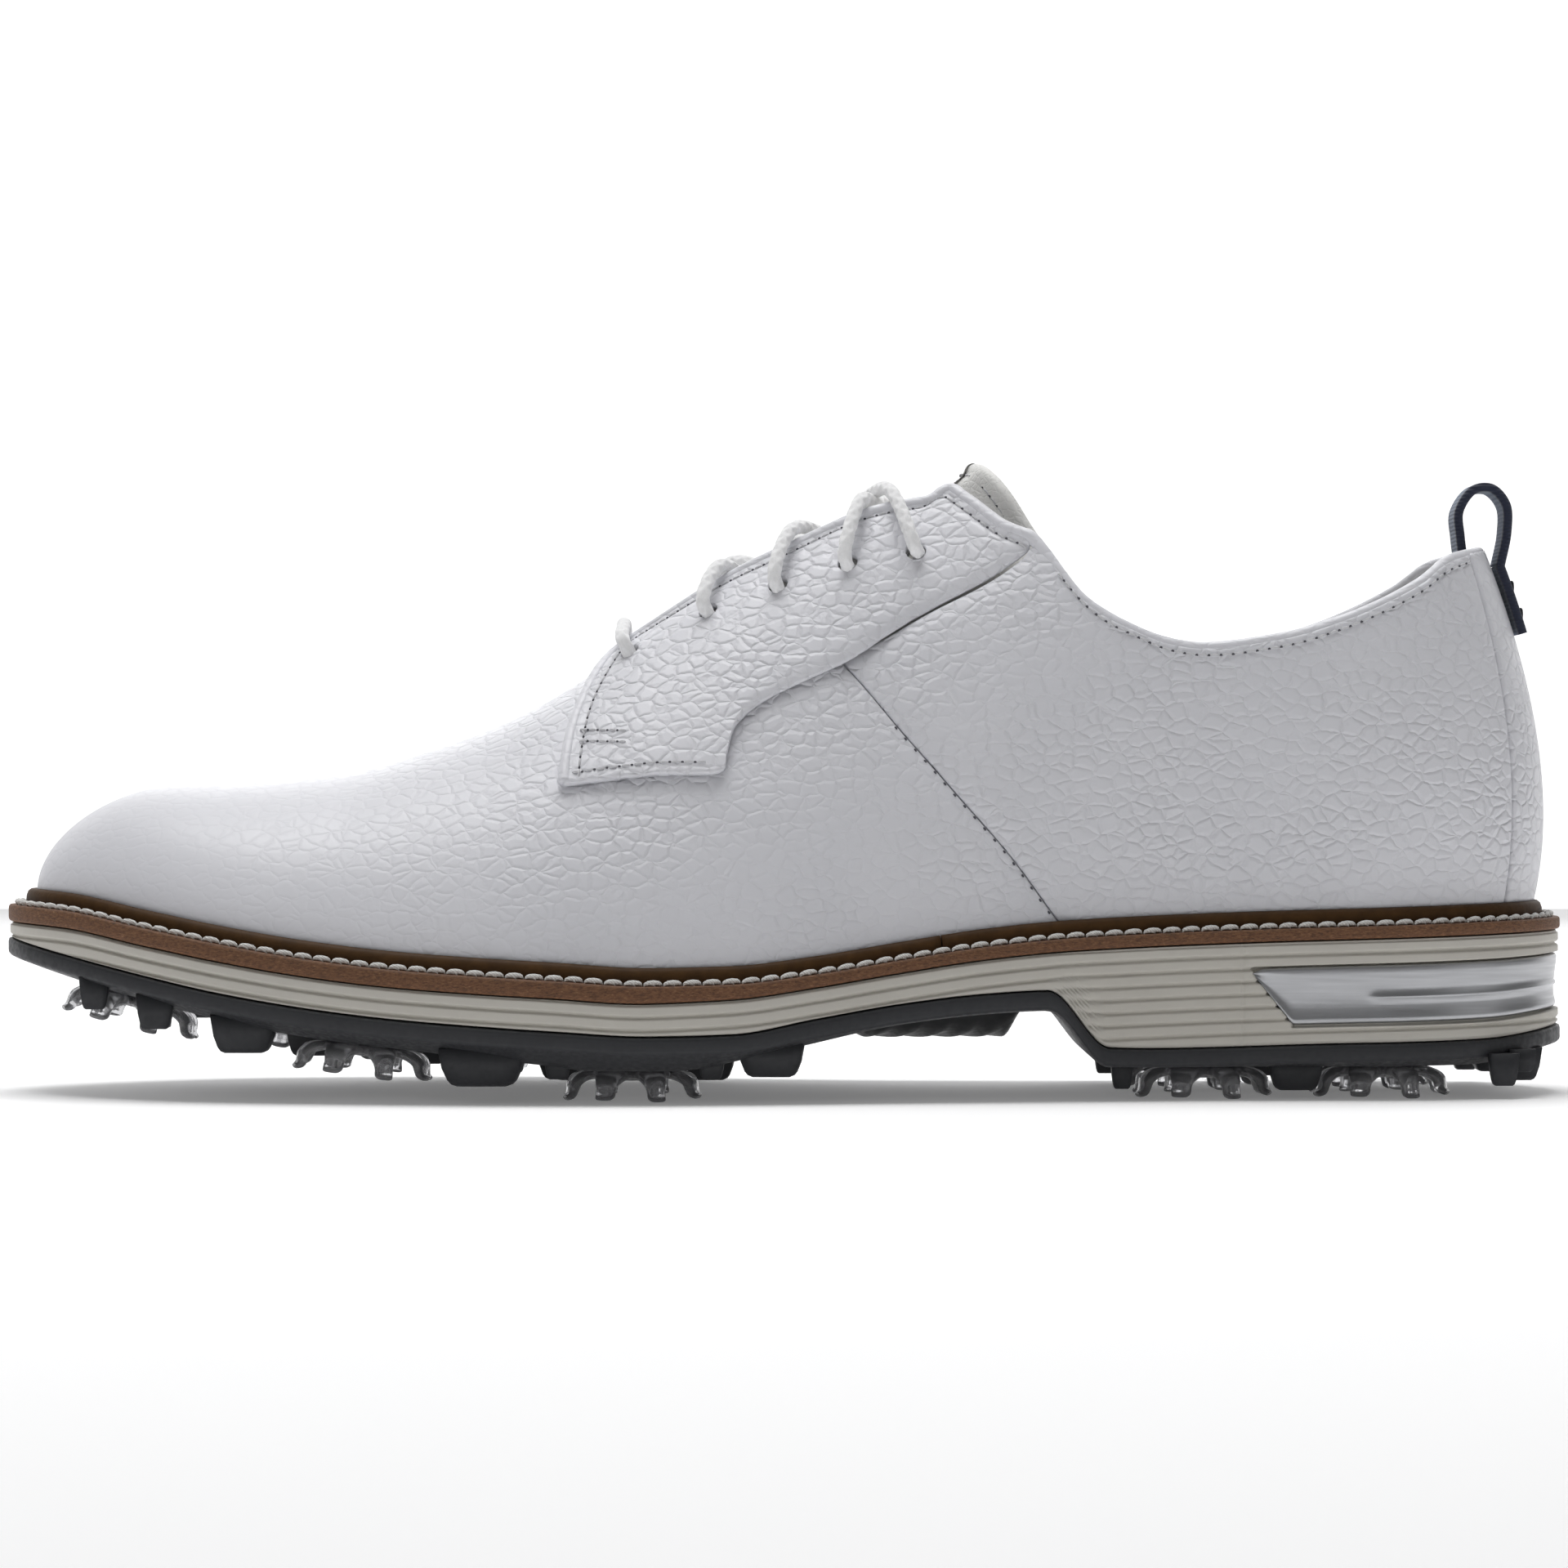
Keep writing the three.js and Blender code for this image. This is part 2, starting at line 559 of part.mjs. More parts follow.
// a shell round the toe or the heel, from station `reach` on both sides, between two lines of v
function wrapRound(end, reach, columns, rows, low, high, outer, inner) {
  return shell(columns, rows, (a, b, face) => {
    const side = a < 0.5 ? -1 : 1;
    const turn = Math.abs(2 * a - 1);
    const share = reach * (1 - Math.cos((turn * Math.PI) / 2));
    const s = end === "toe" ? share : 1 - share;
    const v = lerp(low(side, s), high(side, s), b);
    return skin(side, s, v, face ? inner(s, v) : outer(s, v));
  });
}
const fixed = (value) => () => value;

const puffReach = 0.13;
const puffTop = 0.84; // share of the profile that the toe puff covers
const puffInner = -leather - layerGap - puffSheet;
add("toe_puff", wrapRound("toe", puffReach, 12, 4, fixed(0), fixed(puffTop),
  fixed(-leather - layerGap), fixed(puffInner)), lining);

const liningGap = 0.012; // share of a profile or of the length left open between two linings
const vampLiningSeam = vampSeam.map(([s, share]) => [s - liningGap - 0.03 * (share < 0.6), share]);
const vampLiningOuter = (s) => -layerGap - 0.5 + lerp(puffInner, -leather, ease(s, puffReach, puffReach + 0.05));
add("vamp_lining", wrapOver(10, 16, vampLiningSeam, vampLiningOuter, (s) => vampLiningOuter(s) - liningLeather), lining);

const seamGap = 0.0035; // gap between butted panels, as a share of the length
// a panel between a front seam, a rear seam, a lower line and an upper line, all in station and v
function panel(side, columns, rows, edges, outer, inner) {
  const [front, rear, low, high] = edges.map(path);
  return shell(columns, rows, (a, b, face) => {
    const mix = (i) =>
      lerp(low(a)[i], high(a)[i], b) + lerp(front(b)[i], rear(b)[i], a) -
      lerp(lerp(front(0)[i], rear(0)[i], a), lerp(front(1)[i], rear(1)[i], a), b);
    const s = mix(0);
    const v = Math.min(1, Math.max(0, mix(1)));
    return skin(side, s, v, face ? inner(s, v) : outer(s, v));
  });
}
const collarPoints = (side, from, to, steps, drop) =>
  Array.from({ length: steps + 1 }, (_, i) => {
    const s = lerp(from, to, i / steps);
    return [s, atHeight(side, s, collarLine(s)) - drop];
  });
const collarDrop = 0.026; // the panels stop this share of a profile below the rolled binding
const facingEnd = 0.672;

for (const [hand, side] of hands) {
  const seam = toV(side, vampSeam.slice(0, 5)).map(([s, v]) => [s + seamGap, v]);
  const under = toV(side, facingLow.slice(6)).map(([s, v]) => [s + seamGap, v - 0.012]);
  const top = [seam.at(-1), ...under.slice(1, -1), ...collarPoints(side, facingEnd, backstayFront - seamGap, 9, collarDrop)];
  const rearTop = top.at(-1);
  const rear = [[rearTop[0], 0], [rearTop[0], rearTop[1] / 2], rearTop];
  const low = [seam[0], [lerp(seam[0][0], rearTop[0], 0.5), 0], rear[0]];
  add("quarter_" + hand, panel(side, 13, 6, [seam, rear, low, top], fixed(0), fixed(-leather)), whiteLeather);
}

add("backstay", wrapRound("heel", 1 - backstayFront - seamGap, 8, 6, fixed(0),
  (side, s) => atHeight(side, s, collarLine(s)) - collarDrop, fixed(0), fixed(-leather)), whiteLeather);

// the lace facing: a front edge, the edge along the lace gap, and a low edge with its tab
const edgeV = (side, s, drop = 0) => atDistance(side, s, facingGap(s) + drop);
function facingEdges(side, low) {
  const bottom = toV(side, low);
  const upper = [];
  for (let i = 0; i <= 6; i++) {
    const s = lerp(0.392, facingTopEnd, i / 6);
    upper.push([s, edgeV(side, s)]);
  }
  upper.push(...toV(side, facingCorner));
  const front = [bottom[0], ...toV(side, [[0.359, 0.74], [0.366, 0.87]]), upper[0]];
  const rear = [bottom.at(-1), upper.at(-1)];
  return [front, rear, bottom, upper];
}
const facingOuter = (s) => facingInner(s) + facingLeather;
const eyeletAt = (side, s) => [s, edgeV(side, s, eyeletInset)];
// a pin through the eyelet, square to the surface
function eyeletPin(side, s) {
  const [, v] = eyeletAt(side, s);
  const from = skin(side, s, v, -6);
  const to = skin(side, s, v, 6);
  const pin = new THREE.CylinderGeometry(eyeletHole / 2, eyeletHole / 2, from.distanceTo(to), 8);
  const turn = new THREE.Quaternion().setFromUnitVectors(new THREE.Vector3(0, 1, 0), to.clone().sub(from).normalize());
  return pin.applyQuaternion(turn).translate(...from.add(to).multiplyScalar(0.5));
}
for (const [hand, side] of hands) {
  const pins = eyeletPlaces.map((s) => eyeletPin(side, s));
  const edges = facingEdges(side, facingLow.slice(0, -1).concat([[0.662, 0.716]]));
  add("facing_" + hand, cut(panel(side, 17, 3, edges, facingOuter, facingInner), pins), whiteLeather);
}

// under the facing, where the vamp leaves off
const facingLiningGap = 0.6;
for (const [hand, side] of hands) {
  const low = toV(side, [[0.402, 0.87], [0.43, 0.83], [0.5, 0.79], [0.545, 0.74], [0.569, 0.725], [0.6065, 0.73], [0.65, 0.74]]);
  const upper = [];
  for (let i = 0; i <= 5; i++) {
    const s = lerp(0.402, facingTopEnd - 0.002, i / 5);
    upper.push([s, edgeV(side, s, 0.8)]);
  }
  upper.push(...toV(side, [[0.61, 0.9], [0.622, 0.86], [0.645, 0.775], [0.652, 0.755]]));
  const outer = (s) => facingInner(s) - facingLiningGap;
  const edges = [[low[0], upper[0]], [low.at(-1), upper.at(-1)], low, upper];
  add("facing_lining_" + hand, cut(panel(side, 14, 3, edges, outer, (s) => outer(s) - liningLeather),
    eyeletPlaces.map((s) => eyeletPin(side, s))), lining);
}

// heel: counter, collar padding and lining, each one piece round the back
const counterFront = 0.74;
const counterTop = 0.3; // share of the profile
const counterOuter = -leather - layerGap;
const counterInner = counterOuter - counterBoard;
add("heel_counter", wrapRound("heel", 1 - counterFront, 12, 3, fixed(0),
  (side, s) => counterTop * ease(s, counterFront - 0.06, 0.86), fixed(counterOuter), fixed(counterInner)), board);

const foamFront = 0.68;
const foamDepth = 0.17;
const collarV = (side, s) => atHeight(side, s, collarLine(s)) - collarDrop;
const foamShape = (s) => ease(s, foamFront - 0.04, foamFront + 0.06);
// the padding thins out towards its lower edge
function foamInner(s, v) {
  const top = collarV(-1, s);
  return -leather - layerGap - collarFoam * (0.2 + 0.8 * foamShape(s) * ease(v, top - foamDepth, top - foamDepth * 0.4));
}
add("collar_foam", wrapRound("heel", 1 - foamFront, 14, 4, (side, s) => collarV(side, s) - foamDepth,
  collarV, fixed(-leather - layerGap), foamInner), foam);

const liningFront = 0.556;
const liningTopLine = curve([[0.5414, 0.62], [0.569, 0.645], [0.6065, 0.672], [0.65, 0.69], [0.672, 0.64]]);
function heelLiningTop(side, s) {
  if (s < 0.672) return atHeight(side, s, liningTopLine(s)) - 0.02;
  return collarV(side, s);
}
// the lining follows the padding above and the counter below
function heelLiningOuter(s, v) {
  const top = heelLiningTop(-1, s);
  const padded = foamShape(s) * ease(v, top - foamDepth * 1.7, top - foamDepth * 0.8);
  return lerp(counterInner - layerGap - 0.4, -leather - 2 * layerGap - collarFoam - 0.3, padded);
}
add("quarter_lining", wrapRound("heel", 1 - liningFront, 20, 8, fixed(0), heelLiningTop, heelLiningOuter,
  (s, v) => heelLiningOuter(s, v) - liningLeather), lining);

// a round or flat bar along a line of points
function bar(points, width, height, sides, steps, closed = false) {
  const line = new THREE.CatmullRomCurve3(points, closed, "centripetal");
  const section = new THREE.Shape();
  for (let i = 0; i < sides; i++) {
    const turn = (2 * Math.PI * (i + 0.5)) / sides;
    const grow = 1 / Math.cos(Math.PI / sides);
    const at = [(Math.cos(turn) * width * grow) / 2, (Math.sin(turn) * height * grow) / 2];
    if (i === 0) section.moveTo(...at);
    else section.lineTo(...at);
  }
  return new THREE.ExtrudeGeometry(section, { extrudePath: line, steps, curveSegments: 1 });
}

// the rolled binding sits on the collar edge, from one facing corner round the heel to the other
const bindingRise = bindingDiameter / 2 + clearance;
function bindingPoint(side, s) {
  const v = atHeight(side, s, collarLine(s)) - collarDrop;
  const from = skin(side, s, v, -leather / 2 - 0.6);
  const up = skin(side, s, Math.min(1, v + 0.02), -leather / 2 - 0.6).sub(from).normalize();
  return from.addScaledVector(up, bindingRise + 1.05);
}
const bindingPoints = [];
const bindingSteps = 13;
for (let i = -bindingSteps; i <= bindingSteps; i++) {
  const s = 1 - 0.326 * (1 - Math.cos((Math.abs(i) / bindingSteps) * (Math.PI / 2)));
  bindingPoints.push(bindingPoint(i < 0 ? -1 : 1, s));
}
add("collar_binding", bar(bindingPoints, bindingDiameter, bindingDiameter, 6, 40), whiteLeather);

// ---------------------------------------------------------------- tongue

const tongueRoot = 0.362;
const tongueSide = curve([[0.36, 0.9], [0.4, 0.86], [0.46, 0.74], [0.52, 0.7], [0.6, 0.68], [0.68, 0.66]]);
const tongueTip = 0.622;
const tongueWing = 0.672; // the top edge of the tongue runs back to here at its sides
// the tongue lies under the facings and rises above their edge behind the top corner
const cornerLine = curve([[0.596, 0.96], ...facingCorner, [0.68, 0.68]]);
function tongueOuter(side, s, v) {
  const edge = atHeight(side, s, cornerLine(s));
  return lerp(-tongueDepth, -1.5, ease(v, edge + 0.015, edge + 0.12) * ease(s, 0.6, 0.64));
}
add("tongue", shell(15, 12, (a, b, face) => {
  const side = b < 0.5 ? -1 : 1;
  const out = Math.abs(2 * b - 1);
  const s = lerp(tongueRoot, lerp(tongueTip, tongueWing, out ** 1.4), a);
  const v = lerp(1, atHeight(side, s, tongueSide(s)), out);
  return skin(side, s, v, tongueOuter(side, s, v) - face * tongueFoam * (1 - 0.45 * out ** 2));
}), lining);

// ---------------------------------------------------------------- lace

// one lace: a bar over the first pair of eyelets, then crossed up to the fifth, its ends tucked inside
const laceOver = (s) => facingOuter(s) + laceDiameter / 2 + 0.9;
const laceUnder = (s) => facingInner(s) - facingLiningGap - liningLeather - laceDiameter / 2 - clearance;
const laceCross = laceDiameter / 2 + 0.3; // half the height between two strands where they cross
function atEyelet(side, n, offset) {
  const [s, v] = eyeletAt(side, eyeletPlaces[n]);
  return skin(side, s, v, offset(s));
}
function atEdge(side, n, forward, offset) {
  const s = eyeletPlaces[n] + forward;
  return skin(side, s, edgeV(side, s, -0.5), offset(s));
}
function atMiddle(s, offset) {
  return skin(-1, s, 1, offset);
}
const laceStep = 0.012; // how far along a strand has moved by the time it meets the facing edge
// half of the lace, from the middle of the bar up to the tucked end; `start` is the side of its first eyelet
function laceHalf(start) {
  const points = [atEdge(start, 0, 0, laceOver), atEyelet(start, 0, laceOver), atEyelet(start, 0, laceUnder)];
  const lift = -start * laceCross;
  let side = start;
  for (let n = 0; n < eyeletPlaces.length - 1; n++) {
    const middle = (eyeletPlaces[n] + eyeletPlaces[n + 1]) / 2;
    const [leave, arrive] = [n === 0 ? laceUnder : laceOver, n === 3 ? laceOver : laceUnder];
    const height = (leave(middle) + arrive(middle)) / 2;
    points.push(atEdge(side, n, laceStep, leave), atMiddle(middle, height + lift));
    side = -side;
    points.push(atEdge(side, n + 1, -laceStep, arrive), atEyelet(side, n + 1, arrive));
    points.push(atEyelet(side, n + 1, n === 3 ? laceUnder : laceOver));
  }
  const tail = eyeletPlaces.at(-1) - 0.02;
  points.push(skin(side, tail, edgeV(side, tail, eyeletInset + 3), laceUnder(tail)));
  return points;
}
const laceRoute = [...laceHalf(-1).reverse(), atMiddle(eyeletPlaces[0], laceOver(eyeletPlaces[0])), ...laceHalf(1)];
const laceLine = new THREE.CatmullRomCurve3(laceRoute, false, "centripetal");
laceLine.getUtoTmapping = (u) => u; // one step from each point of the route to the next
const laceSection = new THREE.Shape().setFromPoints(Array.from({ length: 8 }, (_, i) =>
  new THREE.Vector2(laceDiameter / 2, 0).rotateAround(new THREE.Vector2(), (i * Math.PI) / 4)));
add("lace", new THREE.ExtrudeGeometry(laceSection, { extrudePath: laceLine, steps: laceRoute.length - 1 }), cotton);

// ---------------------------------------------------------------- pull loop

const heelTop = bindingPoint(-1, 1);
// a flat strap in the middle plane, through [x, z] points, its thickness across the path
function strap(points, width, thickness) {
  const line = new THREE.CatmullRomCurve3(points.map(([x, z]) => new THREE.Vector3(x, 0, z)), false, "centripetal");
  const steps = points.length * 2;
  return sweep(Array.from({ length: steps + 1 }, (_, i) => {
    const at = line.getPointAt(i / steps);
    const along = line.getTangentAt(i / steps);
    const across = new THREE.Vector3(along.z, 0, -along.x).multiplyScalar(thickness / 2);
    const wide = new THREE.Vector3(0, width / 2, 0);
    return [[-1, -1], [-1, 1], [1, 1], [1, -1]].map(([a, b]) =>
      at.clone().addScaledVector(across, a).addScaledVector(wide, b));
  }));
}
const legOut = bindingDiameter / 2 + 3 * clearance + loopThickness / 2; // leg centre from the binding centre, with room to bend
const loopFoot = heelTop.z - bindingDiameter;
add("pull_loop", strap([
  [heelTop.x + legOut + 0.9, loopFoot], [heelTop.x + legOut + 2.2, heelTop.z + loopRise * 0.3],
  [heelTop.x + legOut + 2, heelTop.z + loopRise * 0.7], [heelTop.x + legOut - 0.8, heelTop.z + loopRise - 0.9],
  [heelTop.x - legOut + 2, heelTop.z + loopRise - 1.2], [heelTop.x - legOut - 0.9, heelTop.z + loopRise * 0.6],
  [heelTop.x - legOut - 0.7, heelTop.z + loopRise * 0.25], [heelTop.x - legOut - 0.2, heelTop.z - 0.8],
], loopWidth, loopThickness), webbing);
const tabDrop = 12.5; // the outer leg is sewn down over this height
const tabPoints = [];
for (let i = 0; i <= 4; i++) {
  const z = loopFoot - 4 * clearance - (tabDrop * (4 - i)) / 4;
  const v = solve((w) => last(-1, 1, w).z, z);
  const at = skin(-1, 1, v, clearance + 0.2 + loopThickness / 2);
  tabPoints.push([at.x, at.z]);
}
add("loop_tab", strap(tabPoints, loopWidth, loopThickness), webbing);

// ---------------------------------------------------------------- cleats and their sockets

const cleatRadius = cleatDiameter / 2;
const legWidth = 3.4;
const legProfile = [[5.2, -0.5], [8.8, -0.5], [cleatRadius - 1.8, -2.6], [cleatRadius, -cleatHeight + 0.9],
  [cleatRadius - 1.4, -cleatHeight], [6.6, -1.9]];
function cleatGeometry() {
  const leg = new THREE.ExtrudeGeometry(new THREE.Shape(legProfile.map((p) => new THREE.Vector2(...p))),
    { depth: legWidth, bevelEnabled: false }).translate(0, 0, -legWidth / 2).rotateX(Math.PI / 2);
  const legs = Array.from({ length: cleatLegs }, (_, i) => leg.clone().rotateZ((2 * Math.PI * (i + 0.5)) / cleatLegs));
  const hub = plug(hubDiameter, -clearance - hubThickness, -clearance, 12);
  const stud = plug(studDiameter, -clearance - hubThickness / 2, studLength, 10);
  return join([hub, stud, ...legs]);
}
function socketGeometry() {
  return cut(plug(socketDiameter, 0, socketHeight, 14), [plug(studDiameter + 2 * clearance, -1, socketHeight + 1, 10)]);
}
const cleatMade = cleatGeometry();
const socketMade = socketGeometry();
for (const place of cleatPlaces) {
  const at = seatOf(place);
  for (const [kind, geometry, material] of [["cleat_", cleatMade, clear], ["socket_", socketMade, black]]) {
    const mesh = add(kind + place[0], geometry, material);
    mesh.position.copy(at.at);
    mesh.rotation.y = at.tilt;
  }
}

// the middle of the sole's width lies on Y = 0
const widest = (side) => Math.max(...soleStations.map((f) => Math.abs(outline(side, f, 0)[1])));
shoe.position.y = (widest(-1) - widest(1)) / 2;

export default shoe;
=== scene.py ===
import math
import bmesh
import bpy
import numpy as np
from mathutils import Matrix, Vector


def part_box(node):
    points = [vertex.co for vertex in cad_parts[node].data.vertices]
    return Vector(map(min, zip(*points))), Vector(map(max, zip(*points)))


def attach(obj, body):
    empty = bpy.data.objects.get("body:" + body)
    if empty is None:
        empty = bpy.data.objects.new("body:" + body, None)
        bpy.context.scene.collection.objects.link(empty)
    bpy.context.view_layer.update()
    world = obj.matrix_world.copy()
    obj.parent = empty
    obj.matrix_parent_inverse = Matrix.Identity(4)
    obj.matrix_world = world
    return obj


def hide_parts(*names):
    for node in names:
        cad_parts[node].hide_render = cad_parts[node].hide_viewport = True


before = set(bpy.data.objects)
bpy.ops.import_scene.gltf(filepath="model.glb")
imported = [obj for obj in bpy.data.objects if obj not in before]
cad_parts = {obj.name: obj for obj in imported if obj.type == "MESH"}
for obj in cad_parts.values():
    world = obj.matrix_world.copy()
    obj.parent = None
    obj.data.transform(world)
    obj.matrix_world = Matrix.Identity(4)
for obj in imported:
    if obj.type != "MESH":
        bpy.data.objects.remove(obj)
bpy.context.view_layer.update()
print("frame loaded")

mm = 0.001
low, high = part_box("outsole")
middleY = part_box("pull_loop")[0].y / mm + (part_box("pull_loop")[1].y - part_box("pull_loop")[0].y) / mm / 2
soleLength = (high.x - low.x) / mm
toeX = low.x / mm

# the shoe's own curves, in millimetres: the surface that the frame's panels are cut from
sizes = dict(ballWidth=107, heelWidth=75, featherInset=5.8, toeRound=0.165, heelRound=0.125, toeFan=28,
             heelFan=30, gap=0.3, outsoleLip=3.4, weltFront=3.2, weltBack=2.3)


def curve(*pairs):  # a smooth line through (station, value) pairs, for arrays of stations
    x = np.array([p[0] for p in pairs], float)
    y = np.array([p[1] for p in pairs], float)
    rise = np.diff(y) / np.diff(x)
    slope = np.concatenate([[rise[0]], np.zeros(len(x) - 2), [rise[-1]]])
    for i in range(1, len(x) - 1):
        if rise[i - 1] * rise[i] > 0:
            slope[i] = 2 * rise[i - 1] * rise[i] / (rise[i - 1] + rise[i])

    def value(s):
        s = np.clip(np.asarray(s, float), x[0], x[-1])
        i = np.clip(np.searchsorted(x, s, side="right") - 1, 0, len(x) - 2)
        run = x[i + 1] - x[i]
        f = (s - x[i]) / run
        g = 1 - f
        return (y[i] * (1 + 2 * f) * g * g + slope[i] * run * f * g * g
                + y[i + 1] * (3 - 2 * f) * f * f - slope[i + 1] * run * f * f * g)
    return value


def ease(x, start, end):
    f = np.clip((np.asarray(x, float) - start) / (end - start), 0, 1)
    return f * f * (3 - 2 * f)


def mix(a, b, f):
    return a + (b - a) * f


lateralShare = curve((0, .335), (.05, .36), (.1, .395), (.16, .432), (.25, .485), (.34, .517), (.4, .517),
                     (.47, .497), (.56, .475), (.65, .49), (.75, .505), (.88, .5), (1, .48))
medialShare = curve((0, .355), (.05, .385), (.1, .42), (.16, .45), (.25, .478), (.33, .48), (.4, .452),
                    (.48, .405), (.56, .385), (.65, .415), (.75, .46), (.88, .5), (1, .48))
weltTop = curve((0, 36.8), (.045, 35.9), (.1, 32.8), (.15, 29.9), (.2, 27.4), (.256, 25.4), (.31, 24.2),
                (.36, 23.3), (.414, 22.3), (.467, 22.6), (.52, 24.4), (.573, 27), (.625, 29.4), (.68, 31),
                (.78, 32.4), (.89, 33.4), (1, 34.4))
lipBottom = curve((0, 27), (.03, 24.9), (.098, 20.3), (.15, 17), (.203, 14.4), (.256, 12.5), (.31, 11.2),
                  (.36, 10.2), (.414, 9.3), (.467, 9.6), (.52, 12.4), (.573, 15.1), (.625, 16.9),
                  (.664, 17.5), (.703, 6.6), (.73, 6.4), (.84, 7.2), (.94, 7.9), (1, 10))
belly = curve((0, 26), (.03, 24), (.08, 20.2), (.15, 15.2), (.2, 12.4), (.256, 10.4), (.31, 8.6), (.36, 7),
              (.38, 6.2), (.43, 6.2), (.5, 10), (.573, 14.6), (.625, 16.4), (.664, 17), (.703, 6.2),
              (.93, 6.2), (1, 9.4))
ridgeTop = curve((0, 60), (.1, 60.3), (.2, 62.5), (.256, 66.7), (.31, 72.3), (.36, 80.1), (.414, 91),
                 (.467, 101.9), (.52, 111.5), (.573, 120.5), (.6, 124.1), (.625, 128), (.66, 135.25),
                 (.7, 144.69), (.74, 150), (1, 150))
wallRise = curve((0, 12), (.1, 13), (.2, 15), (.33, 20), (.45, 30), (.55, 36), (.65, 34), (.75, 28), (1, 27))
wallBulge = curve((0, 2.5), (.1, 2), (.3, 1.5), (.5, 1), (.6, .6), (.7, 1), (.85, 3), (1, 8))
shoulder = curve((0, 14), (.1, 22), (.2, 26), (.33, 27), (.45, 19), (.52, 16), (.58, 18), (.65, 28),
                 (.72, 36), (.9, 36), (1, 28))
shoulderDrop = curve((0, 0), (.52, 0), (.58, 3), (.65, 20), (.72, 42), (.8, 48), (1, 50))
collarLine = curve((.657, .712), (.672, .668), (.7, .567), (.725, .507), (.751, .475), (.776, .465),
                   (.83, .48), (.87, .508), (.9, .537), (.93, .572), (.96, .612), (1, .628))
facingGap = curve((.37, 4.2), (.45, 6.5), (.52, 9), (.6, 11))


def weltBottom(s):
    return weltTop(s) - mix(sizes["weltFront"], sizes["weltBack"], ease(s, .38, .55))


def stationOf(x):
    return (x - toeX) / soleLength


def outline(side, f, inset):  # plan of the sole, set in by an inset
    f = np.asarray(f, float)
    share = np.where(np.asarray(side) < 0, lateralShare(f), medialShare(f))
    width = mix(sizes["ballWidth"], sizes["heelWidth"], ease(f, .45, .8))
    toe = 1 - np.maximum(0, 1 - f / sizes["toeRound"]) ** 2
    heel = 1 - np.maximum(0, 1 - (1 - f) / sizes["heelRound"]) ** 2
    x = toeX + inset + f * (soleLength - 2 * inset)
    return x, side * (width * share - inset) * np.sqrt(np.maximum(toe * heel, 0))


def last(side, s, v):  # the outside of the upper: feather line at v = 0, ridge at v = 1
    side, s, v = np.broadcast_arrays(np.asarray(side, float), s, v)
    inset = sizes["featherInset"]
    x, y = outline(side, s, inset)
    toToe = x - (toeX + inset)
    toHeel = toeX + soleLength - inset - x
    ridgeX = x + sizes["toeFan"] * np.exp(-toToe / sizes["toeFan"])
    ridgeX = ridgeX - sizes["heelFan"] * np.exp(-toHeel / sizes["heelFan"])
    outX, outY = x - ridgeX, y
    length = np.maximum(np.hypot(outX, outY), 1e-9)
    outX, outY = outX / length, outY / length
    zero = np.zeros_like(x)
    foot = np.stack([x, y, weltTop(stationOf(x)) + sizes["gap"]], -1)
    ridge = np.stack([ridgeX, zero, ridgeTop(s)], -1)
    out = np.stack([outX, outY, zero], -1)
    up = np.array([0, 0, 1.0])
    lowPull = foot + out * wallBulge(s)[..., None] + up * wallRise(s)[..., None]
    highPull = ridge + out * shoulder(s)[..., None] - up * shoulderDrop(s)[..., None]
    w = v[..., None]
    g = 1 - w
    return foot * g ** 3 + lowPull * 3 * w * g * g + highPull * 3 * w * w * g + ridge * w ** 3


def skin(side, s, v, offset):  # that surface, moved out by an offset
    side, s, v, offset = np.broadcast_arrays(np.asarray(side, float), s, v, offset)
    step = 0.004
    along = last(side, np.minimum(1, s + step), v) - last(side, np.maximum(0, s - step), v)
    up = last(side, s, np.minimum(1, v + step)) - last(side, s, np.maximum(0, v - step))
    normal = np.cross(along, up) * -side[..., None]
    toe = np.stack([-up[..., 2], np.zeros_like(s), up[..., 0]], -1)
    normal = np.where((s <= 1e-9)[..., None], toe, normal)
    normal = np.where((s >= 1 - 1e-9)[..., None], -toe, normal)
    flat = (s <= 1e-9) | (s >= 1 - 1e-9) | ((v >= 1 - 1e-9) & (ridgeTop(s) < 149))
    normal[..., 1] = np.where(flat, 0, normal[..., 1])
    normal /= np.maximum(np.linalg.norm(normal, axis=-1, keepdims=True), 1e-9)
    return last(side, s, v) + normal * offset[..., None]


def solve(value, target):  # the share at which a growing value passes its target
    a = np.zeros_like(np.asarray(target, float))
    b = np.ones_like(a)
    for _ in range(26):
        m = (a + b) / 2
        below = value(m) < target
        a, b = np.where(below, m, a), np.where(below, b, m)
    return (a + b) / 2


def atHeight(side, s, share):
    s = np.asarray(s, float)
    share = np.clip(share, 0, 1)
    base = last(side, s, np.zeros_like(s))[..., 2]
    v = solve(lambda m: last(side, s, m)[..., 2], mix(base, ridgeTop(s), share))
    return np.where(share >= 1, 1.0, np.where(share <= 0, 0.0, v))


def atDistance(side, s, distance):
    s = np.asarray(s, float)
    return solve(lambda m: -np.abs(last(side, s, m)[..., 1]), -np.asarray(distance, float) + 0 * s)


# meshes from grids of points

def toMetres(points):
    return (np.asarray(points, float).reshape(-1, 3) + np.array([0, middleY, 0])) * mm


